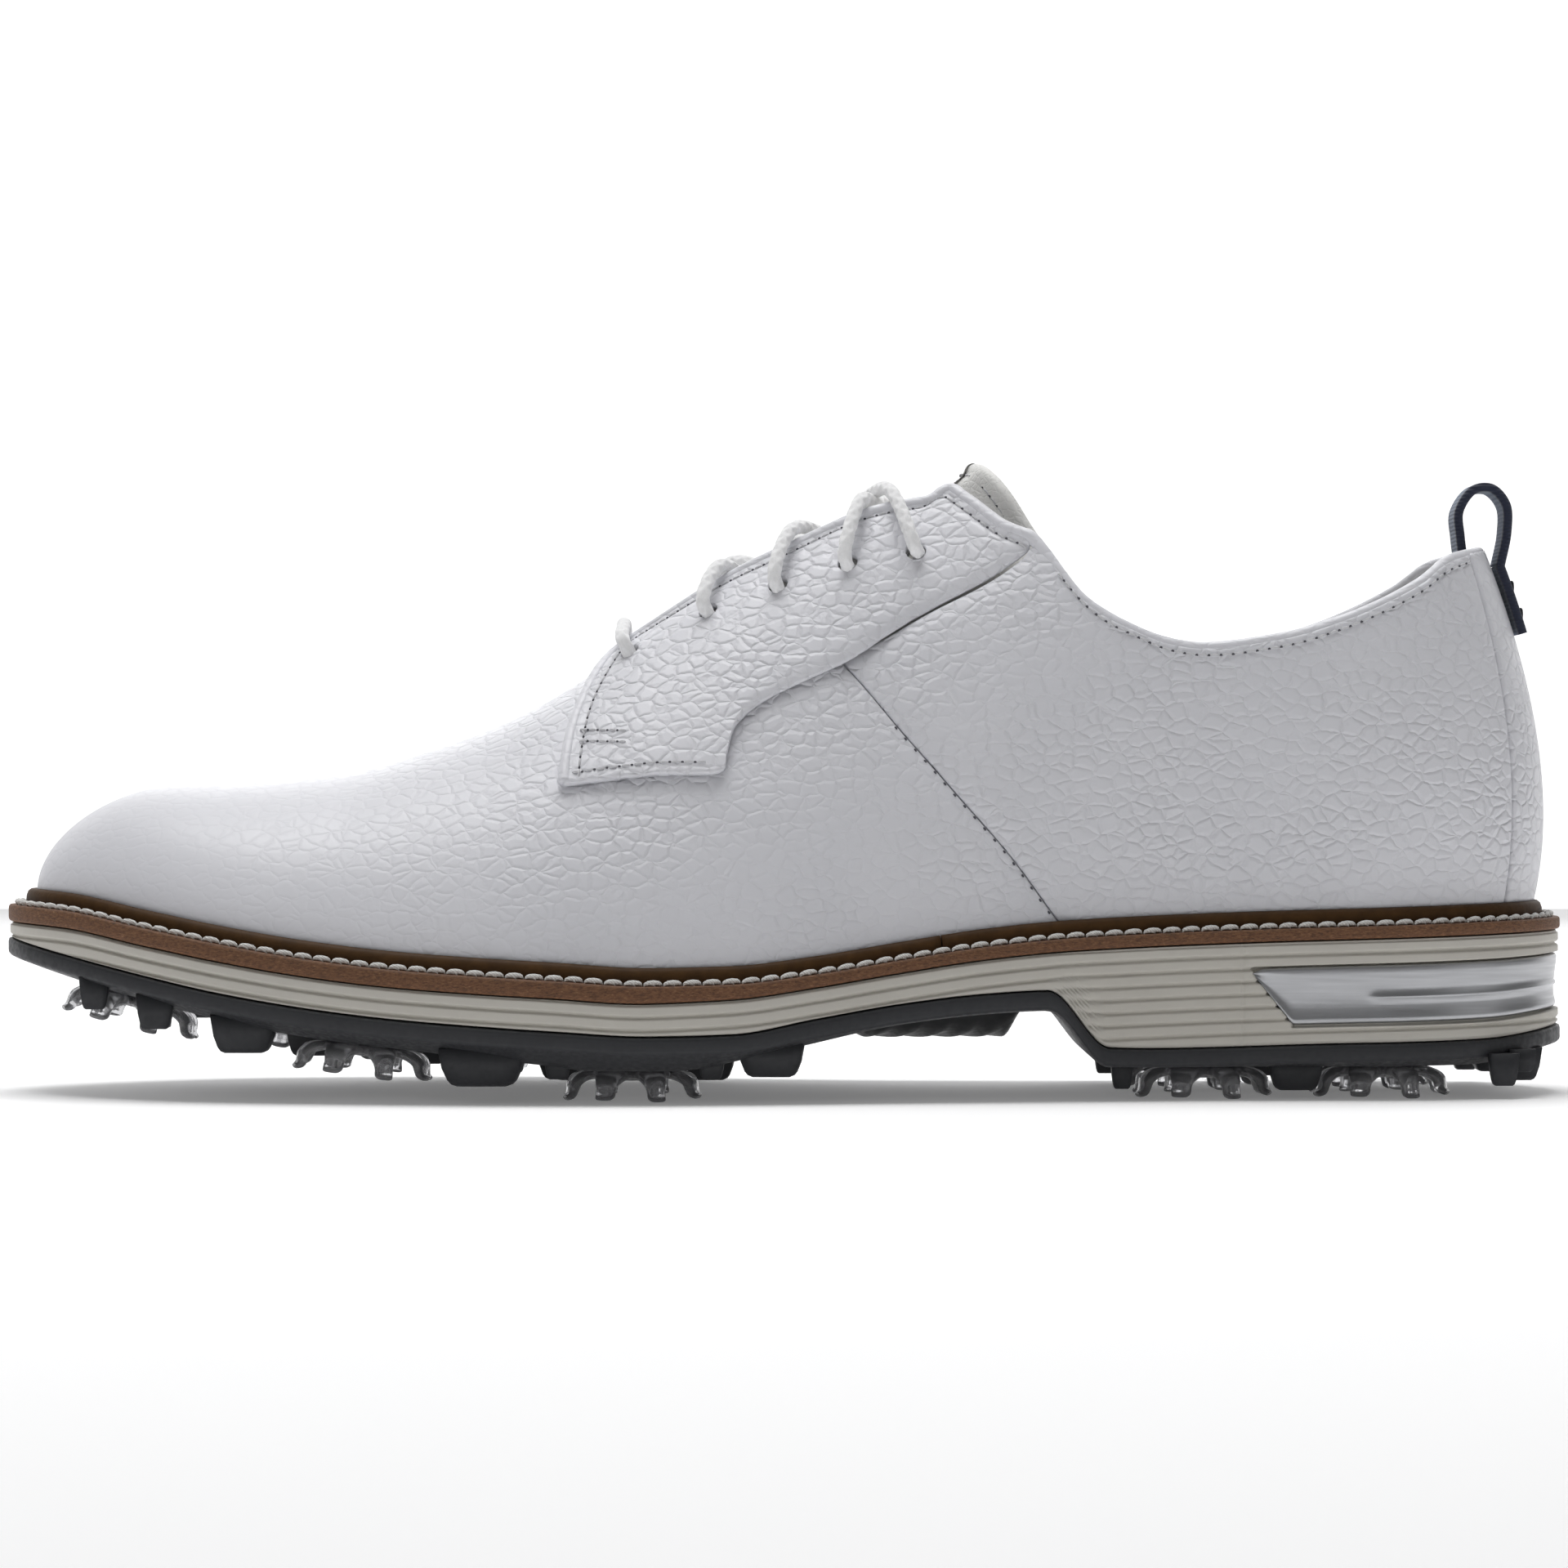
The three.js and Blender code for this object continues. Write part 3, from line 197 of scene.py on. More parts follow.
def newPiece(name, points, faces, weld=0.00002):
    mesh = bpy.data.meshes.new(name)
    mesh.from_pydata(toMetres(points).tolist(), [], [tuple(f) for f in faces])
    mesh.validate()
    work = bmesh.new()
    work.from_mesh(mesh)
    if weld:
        bmesh.ops.remove_doubles(work, verts=work.verts, dist=weld)
        bmesh.ops.dissolve_degenerate(work, dist=weld / 4, edges=work.edges)
    bmesh.ops.recalc_face_normals(work, faces=work.faces)
    work.to_mesh(mesh)
    work.free()
    mesh.shade_smooth()
    piece = bpy.data.objects.new(name, mesh)
    bpy.context.scene.collection.objects.link(piece)
    return piece


def gridFaces(rows, columns, start=0, flip=False, wrap=False):
    i, j = np.meshgrid(np.arange(rows - 1), np.arange(columns if wrap else columns - 1), indexing="ij")
    k = (j + 1) % columns
    quad = np.stack([i * columns + j, (i + 1) * columns + j, (i + 1) * columns + k, i * columns + k], -1)
    quad = quad.reshape(-1, 4) + start
    return quad[:, ::-1] if flip else quad


def shellPiece(name, outer, inner, fold=False):  # two grids joined round their edges
    rows, columns = outer.shape[:2]
    n = rows * columns
    faces = [gridFaces(rows, columns), gridFaces(rows, columns, n, True)]
    i = np.arange(rows - 1)
    j = np.arange(columns - 1)
    left = np.stack([i * columns, n + i * columns, n + (i + 1) * columns, (i + 1) * columns], -1)
    faces += [left, left[:, ::-1] + columns - 1]
    first = np.stack([j, j + 1, n + j + 1, n + j], -1)
    if not fold:
        faces.append(first)
    faces.append(first[:, ::-1] + (rows - 1) * columns)
    points = np.concatenate([outer.reshape(-1, 3), inner.reshape(-1, 3)])
    return newPiece(name, points, np.concatenate(faces).tolist())


def tubePiece(name, rings, closed=False):  # rings: count x corners x 3
    count, corners = rings.shape[:2]
    faces = gridFaces(count, corners, wrap=True).tolist()
    if closed:
        end = (count - 1) * corners
        faces += [[end + j, j, (j + 1) % corners, end + (j + 1) % corners] for j in range(corners)]
    else:
        faces += [list(range(corners)), [(count - 1) * corners + j for j in reversed(range(corners))]]
    return newPiece(name, rings.reshape(-1, 3), faces)


def joinPieces(name, pieces):
    meshes = [p.data for p in pieces]
    work = bmesh.new()
    for mesh in meshes:
        work.from_mesh(mesh)
    joined = bpy.data.meshes.new(name)
    work.to_mesh(joined)
    work.free()
    joined.shade_smooth()
    for piece in pieces:
        bpy.data.objects.remove(piece)
    for mesh in meshes:
        bpy.data.meshes.remove(mesh)
    piece = bpy.data.objects.new(name, joined)
    bpy.context.scene.collection.objects.link(piece)
    return piece


def smoothLine(points, count):  # evenly spaced points on a smooth line through the given ones
    p = np.asarray(points, float)
    p = np.vstack([2 * p[0] - p[1], p, 2 * p[-1] - p[-2]])
    knots = [0.0]
    for a, b in zip(p[:-1], p[1:]):
        knots.append(knots[-1] + max(np.linalg.norm(b - a), 1e-6) ** 0.5)
    made = []
    for i in range(1, len(p) - 2):
        t0, t1, t2, t3 = knots[i - 1:i + 3]
        t = np.linspace(t1, t2, 24, endpoint=False)[:, None]
        a1 = (t1 - t) / (t1 - t0) * p[i - 1] + (t - t0) / (t1 - t0) * p[i]
        a2 = (t2 - t) / (t2 - t1) * p[i] + (t - t1) / (t2 - t1) * p[i + 1]
        a3 = (t3 - t) / (t3 - t2) * p[i + 1] + (t - t2) / (t3 - t2) * p[i + 2]
        b1 = (t2 - t) / (t2 - t0) * a1 + (t - t0) / (t2 - t0) * a2
        b2 = (t3 - t) / (t3 - t1) * a2 + (t - t1) / (t3 - t1) * a3
        made.append((t2 - t) / (t2 - t1) * b1 + (t - t1) / (t2 - t1) * b2)
    dense = np.vstack(made + [p[-2][None]])
    run = np.concatenate([[0], np.cumsum(np.linalg.norm(np.diff(dense, axis=0), axis=1))])
    at = np.linspace(0, run[-1], count)
    return np.stack([np.interp(at, run, dense[:, k]) for k in range(dense.shape[1])], -1)


def frames(line):  # two directions square to the line, that don't twist
    tangent = np.gradient(line, axis=0)
    tangent /= np.linalg.norm(tangent, axis=1, keepdims=True)
    first = np.cross(tangent[0], [0, 0, 1.0])
    if np.linalg.norm(first) < 0.1:
        first = np.cross(tangent[0], [0, 1.0, 0])
    normals = [first / np.linalg.norm(first)]
    for t in tangent[1:]:
        n = normals[-1] - t * np.dot(normals[-1], t)
        normals.append(n / np.linalg.norm(n))
    normals = np.array(normals)
    return normals, np.cross(tangent, normals)


def roundTube(name, line, radius, corners=16):
    first, second = frames(line)
    turn = np.arange(corners) * 2 * np.pi / corners
    radius = np.broadcast_to(radius, (len(line), corners))
    rings = (line[:, None] + first[:, None] * (np.cos(turn)[None, :, None] * radius[..., None])
             + second[:, None] * (np.sin(turn)[None, :, None] * radius[..., None]))
    return tubePiece(name, rings)


def paint(piece, name, values):  # one number per vertex, for a material to read
    layer = piece.data.attributes.new(name, "FLOAT", "POINT")
    layer.data.foreach_set("value", np.asarray(values, np.float32))


def local(piece):  # vertex places in the shoe's own millimetres
    co = np.empty(len(piece.data.vertices) * 3)
    piece.data.vertices.foreach_get("co", co)
    return co.reshape(-1, 3) / mm - np.array([0, middleY, 0])


# materials

class Wire:  # a socket that takes part in sums
    def __init__(self, maker, socket):
        self.maker, self.socket = maker, socket

    def sum(self, kind, a, b):
        return self.maker.node("ShaderNodeMath", {"operation": kind}, {0: a, 1: b})

    def __add__(self, other):
        return self.sum("ADD", self, other)

    def __radd__(self, other):
        return self.sum("ADD", other, self)

    def __mul__(self, other):
        return self.sum("MULTIPLY", self, other)

    def __rmul__(self, other):
        return self.sum("MULTIPLY", other, self)

    def __pow__(self, other):
        return self.sum("POWER", self, other)

    def __rpow__(self, other):
        return self.sum("POWER", other, self)


class Finish:  # one material; node() adds any node and gives back its output
    def __init__(self, name, **fixed):
        self.material = bpy.data.materials.new(name)
        self.material.use_nodes = True
        self.tree = self.material.node_tree
        self.shader = self.tree.nodes["Principled BSDF"]
        for socket, value in fixed.items():
            self.shader.inputs[socket.replace("_", " ")].default_value = value
        self.place = self.node("ShaderNodeTexCoord", output="Object")

    def node(self, kind, settings=None, inputs=None, output=0):
        made = self.tree.nodes.new(kind)
        for key, value in (settings or {}).items():
            if key == "stops":
                while len(made.color_ramp.elements) < len(value):
                    made.color_ramp.elements.new(1)
                for stop, (at, colour) in zip(made.color_ramp.elements, value):
                    stop.position, stop.color = at, (*colour, 1)
            else:
                setattr(made, key, value)
        for key, value in (inputs or {}).items():
            if isinstance(value, Wire):
                self.tree.links.new(value.socket, made.inputs[key])
            else:
                made.inputs[key].default_value = value
        return Wire(self, made.outputs[output])

    def noise(self, scale, detail=2.0, place=None, output=0):
        return self.node("ShaderNodeTexNoise", None,
                         {"Vector": place or self.place, "Scale": scale, "Detail": detail}, output)

    def cells(self, scale, place=None):
        return self.node("ShaderNodeTexVoronoi", {"feature": "DISTANCE_TO_EDGE"},
                         {"Vector": place or self.place, "Scale": scale})

    def ramp(self, factor, *stops):
        return self.node("ShaderNodeValToRGB", {"stops": stops}, {"Fac": factor})

    def blend(self, factor, a, b):
        return self.node("ShaderNodeMix", {"data_type": "RGBA"}, {0: factor, 6: a, 7: b}, 2)

    def painted(self, name):
        return self.node("ShaderNodeAttribute", {"attribute_name": name}, output="Fac")

    def stretch(self, x, y, z):
        return self.node("ShaderNodeMapping", None, {"Vector": self.place, "Scale": (x, y, z)})

    def range(self, value, fromLow, fromHigh, toLow, toHigh):
        return self.node("ShaderNodeMapRange", {"interpolation_type": "SMOOTHSTEP"},
                         {0: value, 1: fromLow, 2: fromHigh, 3: toLow, 4: toHigh})

    def feed(self, **links):
        for key, wire in links.items():
            self.tree.links.new(wire.socket, self.shader.inputs[key.replace("_", " ")])

    def bump(self, height, distance, strength):
        self.feed(Normal=self.node("ShaderNodeBump", None,
                                   {"Height": height, "Distance": distance, "Strength": strength}))

    def on(self, *pieces):
        for piece in pieces:
            piece.data.materials.clear()
            piece.data.materials.append(self.material)


def show(piece, body, slot, *nodes):  # the piece stands for these nodes and moves with this body
    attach(piece, body)
    if nodes:
        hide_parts(*nodes)
    return piece


hands = (("lateral", -1), ("medial", 1))

# camera, light and floor

camera = bpy.data.objects.new("camera", bpy.data.cameras.new("camera"))
bpy.context.scene.collection.objects.link(camera)
camera.location = (0, -1.1 + middleY * mm, 0.0603)
camera.rotation_euler = (math.pi / 2, 0, 0)
camera.data.lens = 128.2
camera.data.sensor_width = 36
bpy.context.scene.camera = camera

studio = dict(floorWidth=8, floorRise=4, white=(0.94, 0.94, 0.945), world=0.16, floorGlow=0.15,
              backGlow=0.75)
lamps = dict(  # place, aim, width, height, watts
    overhead=((-0.1, 0.15, 1.3), (0, 0, 0.05), 1.0, 0.8, 14.5),
    front=((-0.75, -1.25, 0.75), (0, 0, 0.05), 0.9, 0.7, 1.0),
    right=((1.3, -0.5, 0.55), (0.05, 0, 0.05), 0.6, 0.8, 0.7),
    behind=((0.2, 1.2, 0.6), (0, 0, 0.08), 1.4, 0.7, 3.2),
)
for name, (place, aim, width, height, watts) in lamps.items():
    lamp = bpy.data.lights.new(name, "AREA")
    lamp.shape, lamp.size, lamp.size_y, lamp.energy = "RECTANGLE", width, height, watts
    holder = bpy.data.objects.new(name, lamp)
    holder.location = place
    holder.rotation_euler = (Vector(aim) - Vector(place)).to_track_quat("-Z", "Y").to_euler()
    bpy.context.scene.collection.objects.link(holder)
world = bpy.data.worlds.new("studio")
world.use_nodes = True
world.node_tree.nodes["Background"].inputs["Color"].default_value = (1, 1, 1, 1)
world.node_tree.nodes["Background"].inputs["Strength"].default_value = studio["world"]
bpy.context.scene.world = world
bpy.context.scene.view_settings.view_transform = "Standard"

half = studio["floorWidth"] / 2
rise = [(1.6 + 1.2 * math.sin(a), 1.2 - 1.2 * math.cos(a)) for a in np.linspace(0, math.pi / 2, 24)]
for name, run, glow in (("floor", [(-half, 0), (1.6, 0)], studio["floorGlow"]),
                        ("backdrop", rise + [(2.8, studio["floorRise"])], studio["backGlow"])):
    ground = bpy.data.objects.new(name, bpy.data.meshes.new(name))
    ground.data.from_pydata([(x, y, z) for y, z in run for x in (-half, half)], [],
                            [(2 * i, 2 * i + 1, 2 * i + 3, 2 * i + 2) for i in range(len(run) - 1)])
    ground.data.shade_smooth()
    bpy.context.scene.collection.objects.link(ground)
    paper = Finish(name + "_paper", Base_Color=(*studio["white"], 1), Roughness=0.9, Specular_IOR_Level=0.1,
                   Emission_Color=(1, 1, 1, 1), Emission_Strength=glow)
    paper.on(ground)
print("camera, light and floor")

# upper panels

upper = dict(leather=1.6, facing=1.4, lining=1.0, layerGap=0.55, seamGap=0.005, collarDrop=0.026,
             rimDrop=0.006, edgeRound=0.7, threadRadius=0.23, stitchShare=0.74, holeShare=0.26, cell=1.15)
vampSeam = [(.686, 0), (.647, .161), (.6075, .325), (.575, .47), (.5414, .638), (.528, .7), (.49, .74),
            (.412, .79), (.388, .86), (.382, 1)]
facingLow = [(.357, .64), (.412, .57), (.459, .506), (.463, .545), (.47, .61), (.486, .636), (.5414, .645),
             (.569, .668), (.6065, .697), (.657, .712)]
facingCorner = [(.61, .925), (.622, .885), (.647, .785), (.664, .735)]
facingTopEnd, backstayFront = 0.598, 0.974


def facingInner(s):
    return mix(upper["layerGap"], -upper["leather"] + 0.3, ease(s, .545, .6))


def facingOuter(s):
    return facingInner(s) + upper["facing"]


def toV(side, points):
    points = np.array(points, float)
    return np.stack([points[:, 0], atHeight(side, points[:, 0], points[:, 1])], -1)


def edgeV(side, s, drop=0.0):
    return atDistance(side, s, facingGap(s) + drop)


def closeSteps(length, cell):  # steps along an edge, closer together near both of its ends
    near = np.array([0, 0.12, 0.28, 0.5, 0.8, 1.2, 1.7, 2.4])
    middle = np.arange(2.4 + cell, length - 2.4 - cell / 2, cell)
    return np.concatenate([near, middle, length - near[::-1]]) / length


def along(points):
    dense = smoothLine(points, 600)
    return lambda f: np.stack([np.interp(f, np.linspace(0, 1, 600), dense[:, k]) for k in (0, 1)], -1)


def patch(side, front, rear, lowEdge, topEdge, cell=None):  # grid of (s, v) between four edges
    front, rear, lowEdge, topEdge = [along(e) for e in (front, rear, lowEdge, topEdge)]
    probe = np.linspace(0, 1, 60)
    place = lambda e: skin(side, e(probe)[:, 0], np.clip(e(probe)[:, 1], 0, 1), 0.0)
    run = lambda e: np.linalg.norm(np.diff(place(e), axis=0), axis=1).sum()
    cell = cell or upper["cell"]
    long = closeSteps(max(run(lowEdge), run(topEdge)), cell)
    tall = closeSteps(max(run(front), run(rear)), cell)
    row, column = long[:, None, None], tall[None, :, None]
    corner = lambda e, f: e(np.array([f]))[0]
    feet = mix(corner(front, 0.), corner(rear, 0.), row)
    heads = mix(corner(front, 1.), corner(rear, 1.), row)
    grid = (mix(lowEdge(long)[:, None], topEdge(long)[:, None], column)
            + mix(front(tall)[None], rear(tall)[None], row) - mix(feet, heads, column))
    return grid[..., 0], np.clip(grid[..., 1], 0, 1)


def edgeDistances(points):  # millimetres from each of the four edges: start, end, low, top
    rowRun = np.concatenate([np.zeros((1, points.shape[1])), np.cumsum(
        np.linalg.norm(np.diff(points, axis=0), axis=-1), axis=0)])
    columnRun = np.concatenate([np.zeros((points.shape[0], 1)), np.cumsum(
        np.linalg.norm(np.diff(points, axis=1), axis=-1), axis=1)], axis=1)
    return rowRun, rowRun[-1:] - rowRun, columnRun, columnRun[:, -1:] - columnRun


def leatherPanel(name, side, s, v, outer, thickness, rounds, grooves=(), fold=False, rolls=()):
    points = skin(side, s, v, 0.0)
    distances = edgeDistances(points)
    edge = np.full(s.shape, 99.0)
    for i in rounds:
        edge = np.minimum(edge, distances[i])
    radius = upper["edgeRound"]
    near = 1 - np.clip(edge / radius, 0, 1)
    offset = outer(s, v) - radius * 0.8 * (1 - np.sqrt(1 - near ** 2))
    for i, margin in grooves:  # the leather is pulled in along a row of stitches
        offset = offset - 0.36 * np.exp(-((distances[i] - margin) / 0.8) ** 2)
    for i, sink in rolls:  # a turned edge rolls down softly towards its seam
        offset = offset - sink(s) * np.exp(-(distances[i] / 2.3) ** 2)
    top = skin(side, s, v, offset)
    bottom = skin(side, s, v, outer(s, v) - thickness)
    return shellPiece(name, top, bottom, fold), top, distances


def marginLine(top, distance, margin, axis):  # the line on a panel at a set distance from one edge
    if axis == 1:
        top, distance = top.swapaxes(0, 1), distance.swapaxes(0, 1)
    line = []
    for j in range(top.shape[1]):
        d = distance[:, j]
        order = np.argsort(d)
        if d[order[-1]] < margin:
            continue
        line.append([np.interp(margin, d[order], top[order, j, k]) for k in range(3)])
    return np.array(line)


def capsules(name, starts, ends, ups, radius, sink=0.35, corners=6):  # many short stitches in one mesh
    t = np.array([0, 0.06, 0.2, 0.5, 0.8, 0.94, 1.0])
    swell = np.array([0.25, 0.7, 0.95, 1.05, 0.95, 0.7, 0.25])
    rise = np.array([-1.3, -0.4, 0.1, 0.3, 0.1, -0.4, -1.3])
    tangent = ends - starts
    tangent /= np.maximum(np.linalg.norm(tangent, axis=1, keepdims=True), 1e-9)
    across = np.cross(tangent, ups)
    across /= np.maximum(np.linalg.norm(across, axis=1, keepdims=True), 1e-9)
    ups = np.cross(across, tangent)
    centre = (starts[:, None] + (ends - starts)[:, None] * t[None, :, None]
              + ups[:, None] * ((rise * radius)[None, :, None] + sink * radius))
    turn = np.arange(corners) * 2 * np.pi / corners
    ring = (across[:, None, None] * np.cos(turn)[None, None, :, None]
            + ups[:, None, None] * np.sin(turn)[None, None, :, None]) * (swell * radius)[None, :, None, None]
    points = centre[:, :, None] + ring
    one = gridFaces(len(t), corners, wrap=True).tolist()
    one += [list(range(corners)), [(len(t) - 1) * corners + j for j in reversed(range(corners))]]
    each = len(t) * corners
    faces = [[c + k * each for c in f] for k in range(len(starts)) for f in one]
    return newPiece(name, points.reshape(-1, 3), faces, weld=0)


def stitchRow(name, line, centre, pitch, thread=True):  # stitches along a line, with a dark mark of painted hole shade between each two
    run = np.concatenate([[0], np.cumsum(np.linalg.norm(np.diff(line, axis=0), axis=1))])
    count = max(2, int(run[-1] / pitch))
    at = (np.arange(count) + 0.5) * run[-1] / count
    step = run[-1] / count
    pick = lambda f: np.stack([np.interp(f, run, line[:, k]) for k in range(3)], -1)
    made, half = None, step * upper["stitchShare"] / 2
    if thread:
        made = capsules(name, pick(at - half), pick(at + half), centre(pick(at)), upper["threadRadius"])
    # the dark capsules between the stitches are painted shade standing in for the stitch holes
    gaps, half = at[:-1] + step / 2, step * upper["holeShare"] / 2
    holeShadePieces.append(capsules("hole", pick(gaps - half), pick(gaps + half), centre(pick(gaps)),
                               upper["threadRadius"] * 0.9, sink=0.1))
    return made


def fromInside(points):  # the way out of the shoe, for stitches
    axis = np.stack([points[:, 0] * 0.82, np.zeros(len(points)), np.full(len(points), 42.0)], -1)
    out = points - axis
    return out / np.linalg.norm(out, axis=1, keepdims=True)


threadPieces, holeShadePieces, leatherPieces = [], [], []


def flush(s, v):  # the outside of a panel that lies on the last
    return 0 * s


def seamStation(side, v):  # where the vamp ends, at a height
    pairs = toV(side, vampSeam)
    return curve(*[(high, s) for s, high in pairs[np.argsort(pairs[:, 1])]])(v)


toSeam = np.sort(np.concatenate([np.linspace(0, 1, 150)[:-1], [0.996, 0.9975, 0.9988, 1]]))
toSeam, across = np.meshgrid(toSeam, np.linspace(0, 1, 211), indexing="ij")
sides = np.where(across < 0.5, -1.0, 1.0)
heights = 1 - np.abs(2 * across - 1)
stations = np.where(sides < 0, seamStation(-1, heights), seamStation(1, heights))
stations = stations * (1 - np.cos(toSeam * np.pi / 2))
vamp, vampTop, vampEdges = leatherPanel("vamp_leather", sides, stations, heights, flush, upper["leather"],
                                        (1,), fold=True, rolls=((1, lambda s: 0.55 + 0 * s),))
show(vamp, "shoe", "white_leather", "vamp")
leatherPieces.append(vamp)
seamLine = marginLine(vampTop, vampEdges[1], 0.5, 0)
for hand, side in hands:  # only dark ticks of painted hole shade show along the seam's stitches, below the facing
    shown = seamLine[(np.sign(seamLine[:, 1]) == side) & (seamLine[:, 2] < 74)]
    stitchRow("vamp_seam", shown[np.argsort(shown[:, 2])], fromInside, pitch=2.8, thread=False)

for hand, side in hands:
    seam = toV(side, vampSeam[:5] + [(.5371, .66)]) + [0.0005, 0]
    under = toV(side, facingLow[6:] + [(.672, .668)]) + [0.0005, 0]
    under[:, 1] += mix(0.003, -upper["seamGap"], ease(under[:, 0], .555, .6))  # a gap where the seam is flush
    s = np.concatenate([[.664], np.linspace(.672, backstayFront - 0.0004, 14)])
    tuck = 0.032 * (1 - ease(s, .66, .7))  # beside the facing it reaches up behind the rolled edge
    collar = np.stack([s, atHeight(side, s, collarLine(s) + tuck) - upper["rimDrop"]], -1)
    top = np.vstack([seam[-1:], under[1:-1], collar])
    rear = np.array([[top[-1, 0], 0], [top[-1, 0], top[-1, 1] / 2], top[-1]])
    lowEdge = np.array([seam[0], [(seam[0, 0] + rear[0, 0]) / 2, 0], rear[0]])
    stations, heights = patch(side, seam, rear, lowEdge, top)
    rolls = ((0, lambda s: 0.6 + 0 * s), (3, lambda s: 0.6 * (1 - ease(s, .655, .675))))
    quarter, quarterTop, edges = leatherPanel("quarter_leather_" + hand, side, stations, heights, flush,
                                              upper["leather"], (0, 1, 3), rolls=rolls)
    show(quarter, "shoe", "white_leather", "quarter_" + hand)
    leatherPieces.append(quarter)
    rim = marginLine(quarterTop, edges[3], 1.7, 1)
    rim = rim[rim[:, 0] > 52]
    threadPieces.append(stitchRow("collar_stitches_" + hand, rim, fromInside, pitch=2.3))

reach = 1 - backstayFront - 0.0004
turn = np.linspace(0, 1, 61)
share = reach * (1 - np.cos(np.abs(2 * turn - 1) * np.pi / 2))
backSide = np.where(turn < 0.5, -1.0, 1.0)
topV = np.where(turn < 0.5, atHeight(-1, 1 - share, collarLine(1 - share)),
                atHeight(1, 1 - share, collarLine(1 - share))) - upper["rimDrop"]
stations = np.repeat((1 - share)[:, None], 90, 1)
heights = topV[:, None] * np.linspace(0, 1, 90)[None]
backstay, _, _ = leatherPanel("backstay_leather", backSide[:, None] + 0 * stations, stations, heights, flush,
                              upper["leather"], (0, 1))
show(backstay, "shoe", "white_leather", "backstay")
leatherPieces.append(backstay)
print("vamp, quarters and backstay")

eyelets = dict(places=[.4, .452, .498, .544, .588], inset=7.4, hole=4.0)
facingRows = dict(front=2.9, low=2.2, top=2.6, tacks=(69.3, 67.2))  # stitch rows: margins, tack heights


def cylinderMesh(name, start, end, radius, corners=20):
    line = np.linspace(start, end, 2)
    axis = (end - start) / np.linalg.norm(end - start)
    across = np.cross(axis, [0, 0, 1.0])
    across /= np.linalg.norm(across)
    up = np.cross(axis, across)
    turn = np.arange(corners) * 2 * np.pi / corners
    ring = (across[None] * np.cos(turn)[:, None] + up[None] * np.sin(turn)[:, None]) * radius
    return tubePiece(name, line[:, None] + ring[None])


def cutHoles(piece, cutter):
    modifier = piece.modifiers.new("holes", "BOOLEAN")
    modifier.object, modifier.operation, modifier.solver = cutter, "DIFFERENCE", "EXACT"
    applyModifiers(piece)
    bpy.data.objects.remove(cutter)


def applyModifiers(piece):
    graph = bpy.context.evaluated_depsgraph_get()
    made = bpy.data.meshes.new_from_object(piece.evaluated_get(graph))
    piece.modifiers.clear()
    piece.data = made
    made.shade_smooth()


for hand, side in hands:
    lowEdge = toV(side, facingLow + [(.662, .716)])
    s = np.linspace(.392, facingTopEnd, 9)
    upperEdge = np.vstack([np.stack([s, edgeV(side, s)], -1), toV(side, facingCorner)])
    front = np.vstack([lowEdge[:1], toV(side, [(.359, .74), (.366, .87)]), upperEdge[:1]])
    rear = np.array([lowEdge[-1], upperEdge[-1]])
    stations, heights = patch(side, front, rear, lowEdge, upperEdge, cell=0.9)
    facing, facingTop, edges = leatherPanel("facing_leather_" + hand, side, stations, heights,
                                            lambda s, v: facingOuter(s), upper["facing"], (0, 1, 2, 3),
                                            grooves=((0, facingRows["front"]), (3, facingRows["top"])),
                                            rolls=((2, lambda s: 0.6 * ease(s, .462, .48)),))
    pins = []
    for i, place in enumerate(eyelets["places"]):
        v = edgeV(side, place, eyelets["inset"])
        pins.append(cylinderMesh("pin", skin(side, place, v, -6.0), skin(side, place, v, 6.0),
                                 eyelets["hole"] / 2))
    cutHoles(facing, joinPieces("pins", pins))
    show(facing, "shoe", "white_leather", "facing_" + hand)
    leatherPieces.append(facing)
    frontRow = marginLine(facingTop, edges[0], facingRows["front"], 0)
    threadPieces.append(stitchRow("facing_front_stitches_" + hand, frontRow[4:-4], fromInside, pitch=2.5))
    lowRow = marginLine(facingTop, edges[2], facingRows["low"], 1)
    lowRow = lowRow[lowRow[:, 0] < toeX + .455 * soleLength]
    threadPieces.append(stitchRow("facing_low_stitches_" + hand, lowRow[5:], fromInside, pitch=2.3))
    for level in facingRows["tacks"]:  # the double row that holds the end of the tab
        s = np.linspace(.3665, .399, 12)
        v = solve(lambda w: last(side, s, w)[..., 2], level + 0 * s)
        tackRow = skin(side, s, v, facingOuter(s))
        threadPieces.append(stitchRow("facing_tack_" + hand, tackRow, fromInside, pitch=1.9))
    topRow = marginLine(facingTop, edges[3], facingRows["top"], 1)
    threadPieces.append(stitchRow("facing_edge_stitches_" + hand, topRow[3:-3], fromInside, pitch=2.4))


def bindingPoint(side, s):
    v = atHeight(side, s, collarLine(s)) - upper["collarDrop"]
    base = skin(side, s, v, -upper["leather"] / 2 - 0.6)
    up = skin(side, s, np.minimum(1, v + 0.02), -upper["leather"] / 2 - 0.6) - base
    return base + up / np.linalg.norm(up, axis=-1, keepdims=True) * (1.3 + 0.3 + 1.05)


def facingRim(side):  # the rolled edge along the lace gap and round the top corner
    s = np.linspace(.3925, facingTopEnd, 24)
    path = np.vstack([toV(side, [(.3575, .645), (.359, .74), (.366, .87)]),
                      np.stack([s, edgeV(side, s)], -1), toV(side, facingCorner)])
    path = smoothLine(path, 80)
    return skin(side, path[:, 0], path[:, 1], facingInner(path[:, 0]) + upper["facing"] * 0.45)


